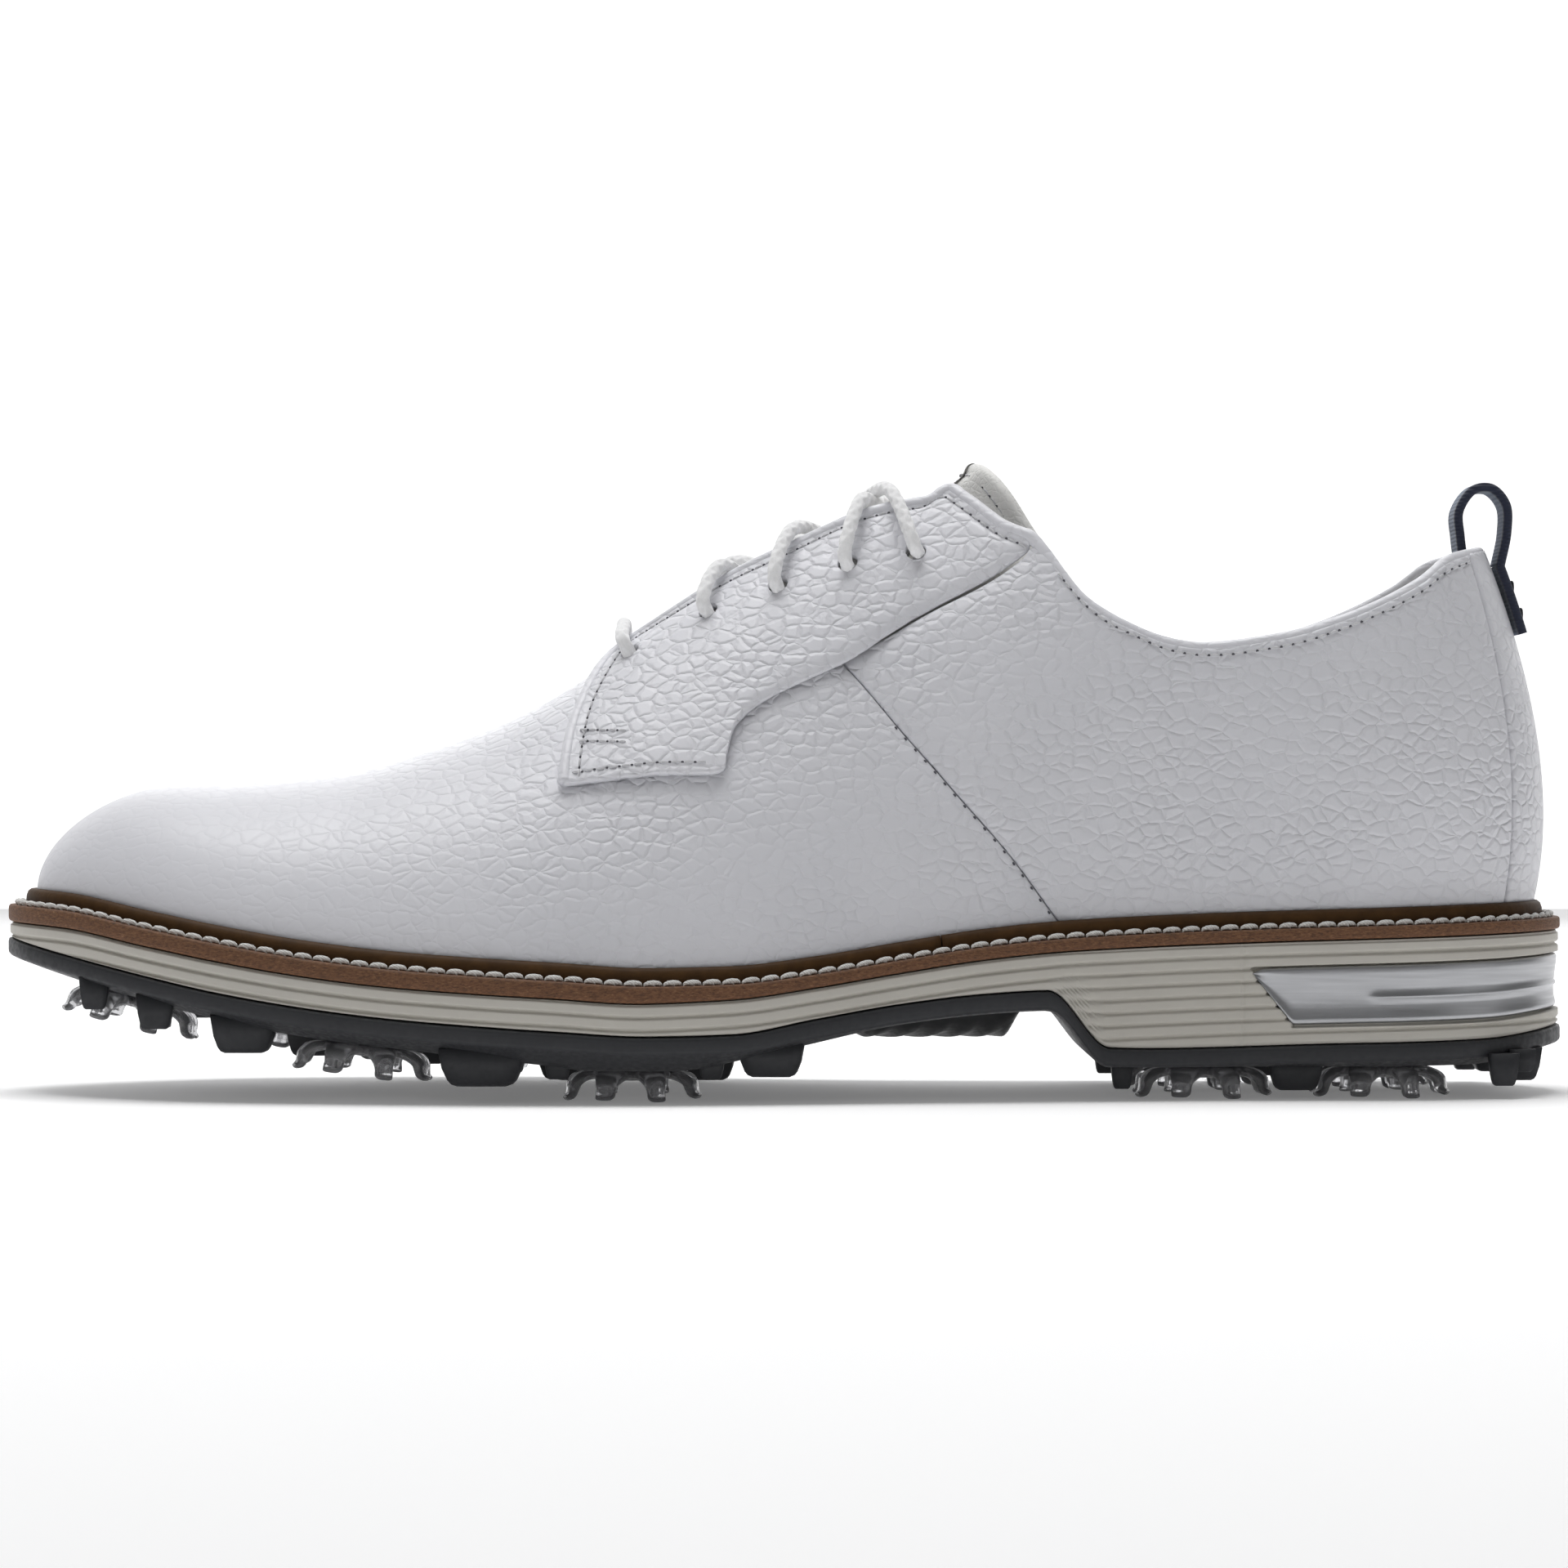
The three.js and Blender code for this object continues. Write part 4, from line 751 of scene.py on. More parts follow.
turn = np.linspace(-1, 1, 61)
s = 1 - 0.306 * (1 - np.cos(np.abs(turn) * np.pi / 2))
collar = np.where((turn < 0)[:, None], bindingPoint(-1, s), bindingPoint(1, s))
rim = np.vstack([facingRim(-1.0), collar, facingRim(1.0)[::-1]])
collarRoll = roundTube("collar_roll", smoothLine(rim, 900), 1.25, 16)
show(collarRoll, "shoe", "white_leather", "collar_binding")
leatherPieces.append(collarRoll)
print("facings and rolled edges")

# inside: linings, collar padding and tongue

inside = dict(counter=1.4, collarFoam=5.0, foamFront=0.68, foamDepth=0.17, liningFront=0.556, bedInset=12.4,
              tongueDepth=6.4, tongueFoam=3.4, tongueRoot=.362, tongueTip=.622, tongueWing=.684)
gap = upper["layerGap"]
liningTopLine = curve((.5414, .62), (.569, .645), (.6065, .672), (.65, .69), (.672, .64))


def collarV(side, s):
    return atHeight(side, s, collarLine(s)) - upper["collarDrop"]


def roundHeel(front, columns, rows, lowV, highV, outer, inner, name):
    turn = np.linspace(0, 1, columns)
    s = 1 - (1 - front) * (1 - np.cos(np.abs(2 * turn - 1) * np.pi / 2))
    side = np.where(turn < 0.5, -1.0, 1.0)
    low = np.where(turn < 0.5, lowV(-1, s), lowV(1, s))
    high = np.where(turn < 0.5, highV(-1, s), highV(1, s))
    f = np.linspace(0, 1, rows)
    heights = mix(low[:, None], high[:, None], f[None])
    stations = np.repeat(s[:, None], rows, 1)
    side = side[:, None] + 0 * stations
    outside = skin(side, stations, heights, outer(stations, heights))
    return shellPiece(name, outside, skin(side, stations, heights, inner(stations, heights)))


def liningTop(side, s):
    return np.where(s < .672, atHeight(side, s, liningTopLine(s)) - 0.02, collarV(side, s))


def padShare(s, v):
    top, depth = collarV(-1, s), inside["foamDepth"]
    along = ease(s, inside["foamFront"] - 0.04, inside["foamFront"] + 0.06)
    return along * ease(v, top - depth * 1.7, top - depth * 0.8)


def liningOuter(s, v):
    counterInner = -upper["leather"] - gap - inside["counter"]
    padInner = -upper["leather"] - 2 * gap - inside["collarFoam"] - 0.3
    return mix(counterInner - gap - 0.4, padInner, padShare(s, v))


lining = roundHeel(inside["liningFront"], 121, 60, lambda side, s: 0 * s, liningTop, liningOuter,
                   lambda s, v: liningOuter(s, v) - upper["lining"], "heel_lining")
show(lining, "shoe", "lining_leather", "quarter_lining")


def foamInner(s, v):
    top = collarV(-1, s)
    share = ease(s, inside["foamFront"] - 0.04, inside["foamFront"] + 0.06)
    return -upper["leather"] - gap - inside["collarFoam"] * (0.2 + 0.8 * share * ease(
        v, top - inside["foamDepth"], top - inside["foamDepth"] * 0.4))


def swellCloth(piece, pressure, cap, frames=20):  # stuffs a closed piece by cloth pressure
    before = local(piece)
    cloth = piece.modifiers.new("stuffing", "CLOTH")
    cloth.settings.use_pressure = True
    cloth.settings.uniform_pressure_force = pressure
    cloth.settings.tension_stiffness = cloth.settings.compression_stiffness = 12
    cloth.settings.effector_weights.gravity = 0
    cloth.point_cache.frame_start, cloth.point_cache.frame_end = 1, frames
    for frameNumber in range(1, frames + 1):
        bpy.context.scene.frame_set(frameNumber)
    applyModifiers(piece)
    bpy.context.scene.frame_set(1)
    move = local(piece) - before
    length = np.maximum(np.linalg.norm(move, axis=1, keepdims=True), 1e-9)
    moved = before + move / length * np.minimum(length, cap)
    piece.data.vertices.foreach_set("co", toMetres(moved).ravel())
    smoother = piece.modifiers.new("rounder", "SUBSURF")
    smoother.levels = smoother.render_levels = 1
    applyModifiers(piece)


foam = roundHeel(inside["foamFront"], 70, 14, lambda side, s: collarV(side, s) - inside["foamDepth"], collarV,
                 lambda s, v: -upper["leather"] - gap + 0 * s, foamInner, "collar_padding")
swellCloth(foam, 4, 0.25)
show(foam, "shoe", "lining_leather", "collar_foam")

cornerLine = curve((.596, .96), *facingCorner, (.68, .68))
tongueSide = curve((.36, .9), (.4, .86), (.46, .74), (.52, .7), (.6, .68), (.68, .66))
tongueRows, tongueColumns = 84, 70
a = np.linspace(0, 1, tongueRows)[:, None]
b = np.linspace(0, 1, tongueColumns)[None]
out = np.abs(2 * b - 1) + 0 * a
stations = mix(inside["tongueRoot"], mix(inside["tongueTip"], inside["tongueWing"], out ** 1.1), a + 0 * b)
sides = np.where(b < 0.5, -1.0, 1.0) + 0 * a
edgeOf = lambda line: np.where(sides < 0, *[atHeight(h, stations, line(stations)) for h in (-1, 1)])
heights = mix(1.0, edgeOf(tongueSide), out)
corner = edgeOf(cornerLine)
wing = ease(heights, corner + 0.015, corner + 0.12) * ease(stations, .6, .64)
depth = mix(-inside["tongueDepth"], -1.5, wing)
rim = np.minimum(np.minimum(1 - a, a + 0.2) * 85, (1 - out) * 40)
thick = inside["tongueFoam"] * (1 - 0.45 * out ** 2)
soften = 0.42 * (1 - np.sqrt(np.clip(1 - (1 - np.clip(rim / 2.2, 0, 1)) ** 2, 0, 1)))
groove = 0.5 * np.exp(-((rim - 3.4) / 0.8) ** 2) * (a > 0.7)
tongueOuter = skin(sides, stations, heights, depth - thick * soften - groove)
tongueInner = skin(sides, stations, heights, depth - thick * (1 - soften))
tongue = shellPiece("tongue_padded", tongueOuter, tongueInner)
swellCloth(tongue, 3, 0.3)
show(tongue, "tongue_body", "tongue_cover", "tongue")
row = np.array([[np.interp(-3.4, -rim[-40:, j], tongueOuter[-40:, j, k]) for k in range(3)]
                for j in range(6, tongueColumns - 6)])


def fromTongue(points):  # the way out of the tongue, for its stitches
    out = points - [20, 0, 90]
    return out / np.linalg.norm(out, axis=1, keepdims=True)


tongueStitches = stitchRow("tongue_stitches", row, fromTongue, pitch=2.6)
show(tongueStitches, "tongue_body", "thread")
print("linings, padding and tongue")

# sole

sole = dict(threadInset=2.0, stitchPitch=3.7, stitchRadius=0.46, panelFront=0.795, panelRecess=2.0,
            panelThickness=1.0, bellyInset=7, groovePitch=2.45, grooveDepth=0.72, mouldLine=0.787)
roundStations = (1 - np.cos(np.pi * np.linspace(0, 1, 161))) / 2
roundStations = np.sort(np.concatenate([roundStations, np.linspace(.655, .715, 25), np.linspace(.35, .66, 40),
                                        np.linspace(.781, .827, 40)]))


def outlineRing(inset, height, stations=roundStations):
    depth = inset(stations) if callable(inset) else inset
    x, y = outline(-1.0, stations, depth)
    x2, y2 = outline(1.0, stations[1:-1][::-1], depth[1:-1][::-1] if callable(inset) else depth)
    x, y = np.concatenate([x, x2]), np.concatenate([y, y2])
    return np.stack([x, y, height(stationOf(x)) + 0 * x], -1)


def slabPiece(name, levels):
    rings = np.array([outlineRing(inset, height) for inset, height in levels])
    levelsCount, count = rings.shape[:2]
    faces = gridFaces(levelsCount, count, wrap=True).tolist()
    half = len(roundStations) - 1
    for k, flip in ((0, False), (levelsCount - 1, True)):
        for j in range(half):
            quad = [k * count + c for c in (j, (count - j) % count, (count - j - 1) % count, j + 1)]
            quad = list(dict.fromkeys(quad))
            faces.append(quad[::-1] if flip else quad)
    return newPiece(name, rings.reshape(-1, 3), faces)


def ringPiece(name, corners):
    rings = np.array([outlineRing(inset, height) for inset, height in corners]).swapaxes(0, 1)
    return tubePiece(name, rings, closed=True)


def partRing(name, corners, start, end, count=120):
    half = start * (1 - np.cos(np.linspace(0, 1, count) * np.pi / 2)) if end == "toe" else \
        1 - (1 - start) * (1 - np.cos(np.linspace(0, 1, count) * np.pi / 2))
    sections = []
    for side, stations in ((-1.0, half[::-1]), (1.0, half[1:])):
        rings = []
        for inset, height in corners:
            x, y = outline(side, stations, inset(stations) if callable(inset) else inset)
            rings.append(np.stack([x, y, height(stationOf(x))], -1))
        sections.append(np.array(rings).swapaxes(0, 1))
    return tubePiece(name, np.concatenate(sections))


def outsoleTop(s):
    return lipBottom(s) + sizes["outsoleLip"]


def midsoleAt(share):
    return lambda s: mix(outsoleTop(s) + 0.3, weltBottom(s) - 0.3, share)


# outsole: a rounded lip over a belly that steps down at the heel, with its lugs
def lipAt(rise):
    return lambda s: lipBottom(s) + rise


crown = lambda share: (lambda s: mix(belly(s), lipBottom(s), share))
levels = [(sole["bellyInset"], belly), (6.2, crown(.04)), (4.5, crown(.32)), (2.6, crown(.7)),
          (1.2, crown(.96)), (0.45, lipAt(0.15)), (0.08, lipAt(0.5)), (0, lipAt(0.9)), (0, lipAt(2.6)),
          (0.15, lipAt(3.15)), (0.6, outsoleTop)]
outsole = slabPiece("outsole_rubber", levels)


def lugPiece(side, s, length, width, drop, inward=10):  # a rounded block that narrows downwards
    share = lateralShare(s) if side < 0 else medialShare(s)
    wide = mix(sizes["ballWidth"], sizes["heelWidth"], ease(s, .45, .8)) * share
    wide = wide * min(1, math.sqrt(1 - max(0, 1 - s / sizes["toeRound"]) ** 2))
    bottom, top = max(1.2, float(belly(s)) - drop), float(belly(s)) + 2
    x, y = toeX + s * soleLength, side * (wide - inward)
    rings = []
    for f, grow in ((0, 1.0), (.55, .9), (.85, .78), (.95, .7), (1, .58)):
        ring = []
        for k in range(20):
            angle = 2 * np.pi * (k + .5) / 20
            square = max(abs(math.cos(angle)), abs(math.sin(angle))) ** 0.75
            ring.append([x + math.cos(angle) / square * length / 2 * grow,
                         y + math.sin(angle) / square * width / 2 * grow, top + (bottom - top) * f])
        rings.append(ring)
    return tubePiece("lug", np.array(rings))


blocks = [  # side, station, length, width, drop below the belly and, for some, distance from the edge
    (-1, .163, 13, 11, 5.2), (-1, .313, 17, 13, 5.2), (-1, .492, 13, 12, 4.6), (-1, .20, 10, 9, 4.6, 30),
    (-1, .27, 10, 9, 4.4, 48), (-1, .36, 12, 10, 4.6, 52), (-1, .45, 12, 10, 4.4, 50), (1, .11, 10, 9, 5.0),
    (1, .265, 14, 12, 5.0), (1, .43, 15, 12, 4.6), (-1, .822, 11, 8, 4.6), (1, .822, 11, 8, 4.6),
    (-1, .965, 10, 12, 4.4, 20), (1, .965, 10, 12, 4.4, 20), (-1, .066, 6, 3.2, 4.2, 3.6),
    (-1, .107, 7.5, 4, 4.6, 4.8), (1, .07, 7, 4, 4.2, 5), (-1, .712, 4.5, 5, 4.2, 9),
    (1, .712, 4.5, 5, 4.2, 9), (-1, .952, 6, 5, 4.2, 6.5), (1, .952, 6, 5, 4.2, 6.5)]
lugs = joinPieces("outsole_lugs", [lugPiece(*block) for block in blocks])
show(outsole, "shoe", "outsole_rubber", "outsole")
show(lugs, "shoe", "outsole_rubber")

# small ribs and pins of the tread between the lugs
treadPlaces = [(side, s, inward) for side in (-1, 1) for s in (.06, .2, .36, .455, .73, .79, .86, .93, .965)
               for inward in (9.5, 17)]
cleatPlaces = [("toe_lateral", .088, 15, -1), ("front_lateral", .238, 33, -1), ("ball_lateral", .405, 31, -1),
               ("front_medial", .19, 24, 1), ("ball_medial", .34, 30, 1),
               ("heel_front_lateral", .765, 20, -1), ("heel_back_lateral", .878, 18, -1),
               ("heel_front_medial", .765, 19, 1), ("heel_back_medial", .878, 18, 1)]
studs = []
for side, s, inward in treadPlaces:
    share = float(lateralShare(s) if side < 0 else medialShare(s))
    wide = float(mix(sizes["ballWidth"], sizes["heelWidth"], ease(s, .45, .8))) * share
    wide *= min(1, math.sqrt(1 - max(0, 1 - s / sizes["toeRound"]) ** 2)) * min(1, math.sqrt(
        1 - max(0, 1 - (1 - s) / sizes["heelRound"]) ** 2))
    x, y = toeX + s * soleLength, side * (wide - inward)
    clearOfCleats = all(math.hypot(x - toeX - p[1] * soleLength, y - p[3] * p[2]) > 18.5 for p in cleatPlaces)
    if wide > inward + 4 and clearOfCleats:
        studs.append(lugPiece(side, s, 5.2, 4.2, 2.4, inward))
tread = joinPieces("tread_studs", studs)
show(tread, "shoe", "outsole_rubber")

# midsole: fine grooves, a layered forefoot and a ridged heel
def seatDepth(f, share):  # the seat of the heel panel starts at the same slant as the panel
    start = sole["panelFront"] - .003 + .0245 * np.clip((.7 - share) / .5, 0, 1)
    return mix(0.6, sole["panelRecess"], ease(f, start, start + .006))


levels = []
for share in np.linspace(0, 1, 121):
    seated = 0.165 < share < 0.775

    def depth(f, share=share, seated=seated):
        deep = (1 - share) * (weltBottom(f) - outsoleTop(f) - 0.6)
        wave = 0.5 + 0.5 * np.cos(deep * 2 * np.pi / sole["groovePitch"])
        ridge = sole["grooveDepth"] * wave ** 6 * min(1, share * 12) * (1 if share < .985 else 0)
        seam = -0.3 * np.exp(-((f - sole["mouldLine"]) / .0011) ** 2)
        end = 0.5 * (max(0, 0.03 - share) + max(0, share - 0.97)) / 0.03
        return (seatDepth(f, share) - 0.25 if seated else 0.35 + 0 * f) + ridge + seam + end
    levels.append((depth, midsoleAt(share)))
midsole = slabPiece("midsole_foam", levels)
show(midsole, "shoe", "midsole_foam", "midsole")

# heel panel: satin skin with a shallow bead, its front end pointed
outerInset = sole["panelRecess"] - 0.3 - sole["panelThickness"]
front = sole["panelFront"] - 0.001


def panelHeight(share):
    corner = 0.7  # the front edge slants down and back from a corner near the top

    def height(s):
        slant = np.clip((s - front + .001) / .0245, 0.04, 1)
        if share >= corner:
            slant = ease(s, front - .004, front + .006)
        return mix(outsoleTop(s) + 0.3, weltBottom(s) - 0.3, corner + (share - corner) * slant)
    return height


innerInset = sole["panelRecess"] - 0.3
bead = lambda depth, rise: (lambda f: depth - rise * ease(f, .866, .876))
corners = [(innerInset, panelHeight(.19)), (innerInset, panelHeight(.48)), (innerInset, panelHeight(.75))]
for share, inset in ((.75, .45), (.74, .12), (.72, 0), (.67, .05), (.6, .2), (.53, .36), (.47, .48),
                     (.455, bead(.5, .28)), (.44, bead(.52, .34)), (.425, bead(.54, .28)), (.41, .56),
                     (.36, .58), (.30, .48), (.25, .28), (.21, .15), (.19, .5)):
    depth = (lambda f, inset=inset: outerInset + inset(f)) if callable(inset) else outerInset + inset
    corners.append((depth, panelHeight(share)))
panel = partRing("heel_panel_satin", corners, front, "heel", 160)
show(panel, "shoe", "heel_panel_satin", "heel_panel")

# welt, rands and the stitches that hold them
inset = sizes["featherInset"] - 0.3
bow = lambda share: (lambda s: mix(weltBottom(s), weltTop(s), share))
welt = ringPiece("welt_board", [(inset, bow(0)), (.35, bow(0)), (.08, bow(.1)), (0, bow(.25)), (0, bow(.75)),
                                (.08, bow(.9)), (.35, bow(1)), (1.3, bow(1)), (inset, bow(1))])
show(welt, "shoe", "welt_board", "welt")
randInner = sizes["featherInset"] - 0.9


def onWelt(rise):
    return lambda s: weltTop(s) + 0.3 + rise


randSection = [(randInner, onWelt(0)), (randInner - 1.4, onWelt(0)), (randInner - 1.5, onWelt(.5)),
               (randInner - 1.42, onWelt(1.6)), (randInner - 1.1, onWelt(2.5)), (randInner - .5, onWelt(3.0)),
               (randInner + .35, onWelt(3.1)), (randInner + .1, onWelt(2.4))]
randFront = partRing("rand_forefoot_leather", randSection, .6, "toe", 190)
randBack = partRing("rand_heel_leather", randSection, .601, "heel", 150)
show(randFront, "shoe", "rand_board", "rand_forefoot")
show(randBack, "shoe", "rand_board", "rand_heel")

ring = outlineRing(sole["threadInset"], onWelt(0.0))
ring = np.vstack([ring, ring[:1]])
run = np.concatenate([[0], np.cumsum(np.linalg.norm(np.diff(ring, axis=0), axis=1))])
count = int(run[-1] / sole["stitchPitch"])
at = np.arange(count) * run[-1] / count
pick = lambda f: np.stack([np.interp(f % run[-1], run, ring[:, k]) for k in range(3)], -1)
middle = pick(at)
direction = pick(at + 0.5) - pick(at - 0.5)
direction /= np.linalg.norm(direction, axis=1, keepdims=True)
outward = np.cross(direction, [0, 0, 1.0])
outward *= np.sign((outward * (middle - [0, 0, 30])).sum(axis=1, keepdims=True))
half = run[-1] / count * 0.47
ups = np.repeat([[0, 0, 1.0]], count, 0) + outward * 0.4
first = capsules("twist_a", middle - direction * half + outward * 0.35,
                 middle + direction * half - outward * 0.25, ups, sole["stitchRadius"], sink=0.7, corners=10)
second = capsules("twist_b", middle - direction * half * 1.05 - outward * 0.3,
                  middle + direction * half * 0.2 + outward * 0.45, ups, sole["stitchRadius"] * 0.8, sink=0.5,
                  corners=10)
weltStitches = joinPieces("welt_stitches", [first, second])
show(weltStitches, "shoe", "thread", "welt_thread")
print("outsole, midsole, welt and heel panel")

# black bridge under the arch with slanted ribs
arch = dict(front=.535, back=.655, centre=.59, reach=.085, halfWidth=19, bottom=10.7, ribPitch=5.2,
            ribRise=0.55)
lengthwise, spread = np.meshgrid(np.linspace(arch["front"], arch["back"], 90), np.linspace(-1, 1, 61),
                                 indexing="ij")
fromCentre = (lengthwise - arch["centre"]) / arch["reach"]
halfWidth = arch["halfWidth"] * np.sqrt(np.maximum(0.12, 1 - fromCentre ** 2))
topZ = np.maximum(10.9, belly(lengthwise) - 0.3)
slanted = lengthwise * soleLength * 0.9 + spread * halfWidth * 0.35
ribs = 0.5 + 0.5 * np.cos(slanted * 2 * np.pi / arch["ribPitch"])
full = np.sqrt(np.maximum(0, 1 - np.abs(spread) ** 3.2))  # share of the depth, less at sides and ends
full = full * ease(lengthwise, arch["front"], .553) * (1 - ease(lengthwise, .64, arch["back"]))
bottomZ = mix(topZ, arch["bottom"], full)
bottomZ = np.minimum(bottomZ + arch["ribRise"] * ribs * (np.abs(spread) < 0.97), topZ - 0.05)
x, y = toeX + lengthwise * soleLength, spread * halfWidth
bridge = shellPiece("arch_bridge_ribbed", np.stack([x, y, topZ], -1), np.stack([x, y, bottomZ], -1))
show(bridge, "shoe", "socket_black", "arch_bridge")
bed = slabPiece("footbed_cover", [(inside["bedInset"] + 1, onWelt(0)), (inside["bedInset"] + .3, onWelt(.5)),
                                  (inside["bedInset"], onWelt(1.8)), (inside["bedInset"] + .2, onWelt(3.2)),
                                  (inside["bedInset"] + 1.1, onWelt(3.9))])
show(bed, "shoe", "insole", "footbed")
print("arch bridge and footbed")

# lace

lace = dict(diameter=2.8, step=0.012, strands=8, rise=0.16, braid=3.4, cross=1.7)


def laceOver(s):
    return facingOuter(s) + lace["diameter"] / 2 + 0.9


def laceUnder(s):
    return facingInner(s) - 0.6 - upper["lining"] - lace["diameter"] / 2 - 0.3


def atEyelet(side, n, offset):
    s = eyelets["places"][n]
    return skin(side, s, edgeV(side, s, eyelets["inset"]), offset(s))


def atEdge(side, n, forward, offset):
    s = eyelets["places"][n] + forward
    return skin(side, s, edgeV(side, s, -0.5), offset(s))


def laceHalf(start):
    points = [atEdge(start, 0, 0, laceOver), atEyelet(start, 0, laceOver), atEyelet(start, 0, laceUnder)]
    lift, side, count = -start * lace["cross"], start, len(eyelets["places"])
    for n in range(count - 1):
        middle = (eyelets["places"][n] + eyelets["places"][n + 1]) / 2
        leave, arrive = (laceUnder if n == 0 else laceOver), (laceOver if n == 3 else laceUnder)
        height = (leave(middle) + arrive(middle)) / 2
        rims = [skin(h, middle, edgeV(h, middle, -0.5), height) for h in (-1.0, 1.0)]
        points += [atEdge(side, n, lace["step"], leave), (rims[0] + rims[1]) / 2 + [0, 0, 0.9 + lift * 0.75]]
        side = -side
        points += [atEdge(side, n + 1, -lace["step"], arrive), atEyelet(side, n + 1, arrive),
                   atEyelet(side, n + 1, laceUnder if n == 3 else laceOver)]
    tail = eyelets["places"][-1] - 0.02
    points.append(skin(side, tail, edgeV(side, tail, eyelets["inset"] + 3), laceUnder(tail)))
    return points


first = eyelets["places"][0]
bar = sum(skin(h, first, edgeV(h, first, -0.5), laceOver(first)) for h in (-1.0, 1.0)) / 2 + [0, 0, 0.8]
route = np.array(laceHalf(-1)[::-1] + [bar] + laceHalf(1))
laceLine = smoothLine(route, 2200)
run = np.concatenate([[0], np.cumsum(np.linalg.norm(np.diff(laceLine, axis=0), axis=1))])
corners = 28
turn = np.arange(corners) * 2 * np.pi / corners
wave = run[:, None] * 2 * np.pi / lace["braid"]
one = np.cos(turn[None] * lace["strands"] / 2 + wave)
two = np.cos(turn[None] * lace["strands"] / 2 - wave)
radius = lace["diameter"] / 2 - lace["rise"] + lace["rise"] * np.maximum(one, two)
braided = roundTube("lace_braided", laceLine, radius, corners)
show(braided, "shoe", "lace_cotton", "lace")
print("lace, %.0f mm of it shown or tucked in" % run[-1])

# pull loop and its sewn tab

loop = dict(width=11.0, thickness=1.9, rise=13.5, ribs=13, ribDepth=0.1, tabDrop=12.5)


def strapPiece(name, points, thickness, count=110):
    points = np.array([(x, 0, z) for x, z in points], float)
    line = smoothLine(points, count)
    tangent = np.gradient(line, axis=0)
    tangent /= np.linalg.norm(tangent, axis=1, keepdims=True)
    across = np.stack([tangent[:, 2], 0 * tangent[:, 0], -tangent[:, 0]], -1)
    u = np.linspace(-1, 1, 56)
    edge = np.sqrt(np.clip(1 - np.maximum(0, (np.abs(u) - 0.86) / 0.14) ** 2, 0.02, 1))
    rib = loop["ribDepth"] * (np.abs(np.cos(u * np.pi * loop["ribs"] / 2)) - 0.5)
    half = (thickness / 2 - 0.1 + rib) * edge
    profile = np.concatenate([np.stack([u, half], -1), np.stack([u[::-1], -half[::-1]], -1)])
    rings = (line[:, None] + across[:, None] * profile[None, :, 1, None]
             + np.array([0, loop["width"] / 2, 0]) * profile[None, :, 0, None])
    piece = tubePiece(name, rings)
    paint(piece, "edge", np.clip((np.abs(local(piece)[:, 1]) / (loop["width"] / 2) - 0.74) / 0.05, 0, 1))
    return piece


heelTop = bindingPoint(-1, np.array(1.0))
legOut = 1.3 + 0.9 + loop["thickness"] / 2
hx, hz, rise = heelTop[0], heelTop[2], loop["rise"]
loopFoot = hz - 2.6
pull = strapPiece("pull_loop_webbing", [
    (hx + legOut + .9, loopFoot), (hx + legOut + 2.2, hz + rise * .3), (hx + legOut + 2, hz + rise * .7),
    (hx + legOut - .8, hz + rise - .9), (hx - legOut + 2, hz + rise - 1.2),
    (hx - legOut - .9, hz + rise * .6), (hx - legOut - .7, hz + rise * .25),
    (hx - legOut - .2, hz - .8)], loop["thickness"])
show(pull, "pull_loop_body", "loop_webbing", "pull_loop")
tabPoints = []
for i in range(7):
    z = loopFoot - 0.35 - (loop["tabDrop"] + 0.85) * (6 - i) / 6
    v = float(solve(lambda w: last(-1, 1.0 + 0 * w, w)[..., 2], np.array(z)))
    at = skin(-1, 1.0, v, 0.45 + loop["thickness"] / 2)
    tabPoints.append((at[0], at[2]))
tab = strapPiece("pull_loop_tab", tabPoints, loop["thickness"], 70)
show(tab, "shoe", "loop_webbing", "loop_tab")
bars = []
for level in (0.3, 0.72):
    z = loopFoot - 1.2 - loop["tabDrop"] * level
    v = float(solve(lambda w: last(-1, 1.0 + 0 * w, w)[..., 2], np.array(z)))
    at = skin(-1, 1.0, v, 0.4 + loop["thickness"])
    ys = np.linspace(-4.4, 4.4, 12)
    centres = np.array([[at[0], y, at[2]] for y in ys])
    ups = np.repeat([[1.0, 0, .1]], 12, 0)
    bars.append(capsules("bar", centres - [0, 0, 1.3], centres + [0, 0, 1.3], ups, .2))
bartack = joinPieces("loop_bartacks", bars)
show(bartack, "shoe", "thread")
print("pull loop")

# cleats: clear legs round a hub, each on its own turning body
cleat = dict(diameter=29, height=6.2, legs=8)


def lathe(name, profile, corners=48):
    turn = np.arange(corners) * 2 * np.pi / corners
    rings = np.array([[[r * math.cos(t), r * math.sin(t), z] for t in turn] for r, z in profile])
    return tubePiece(name, rings)


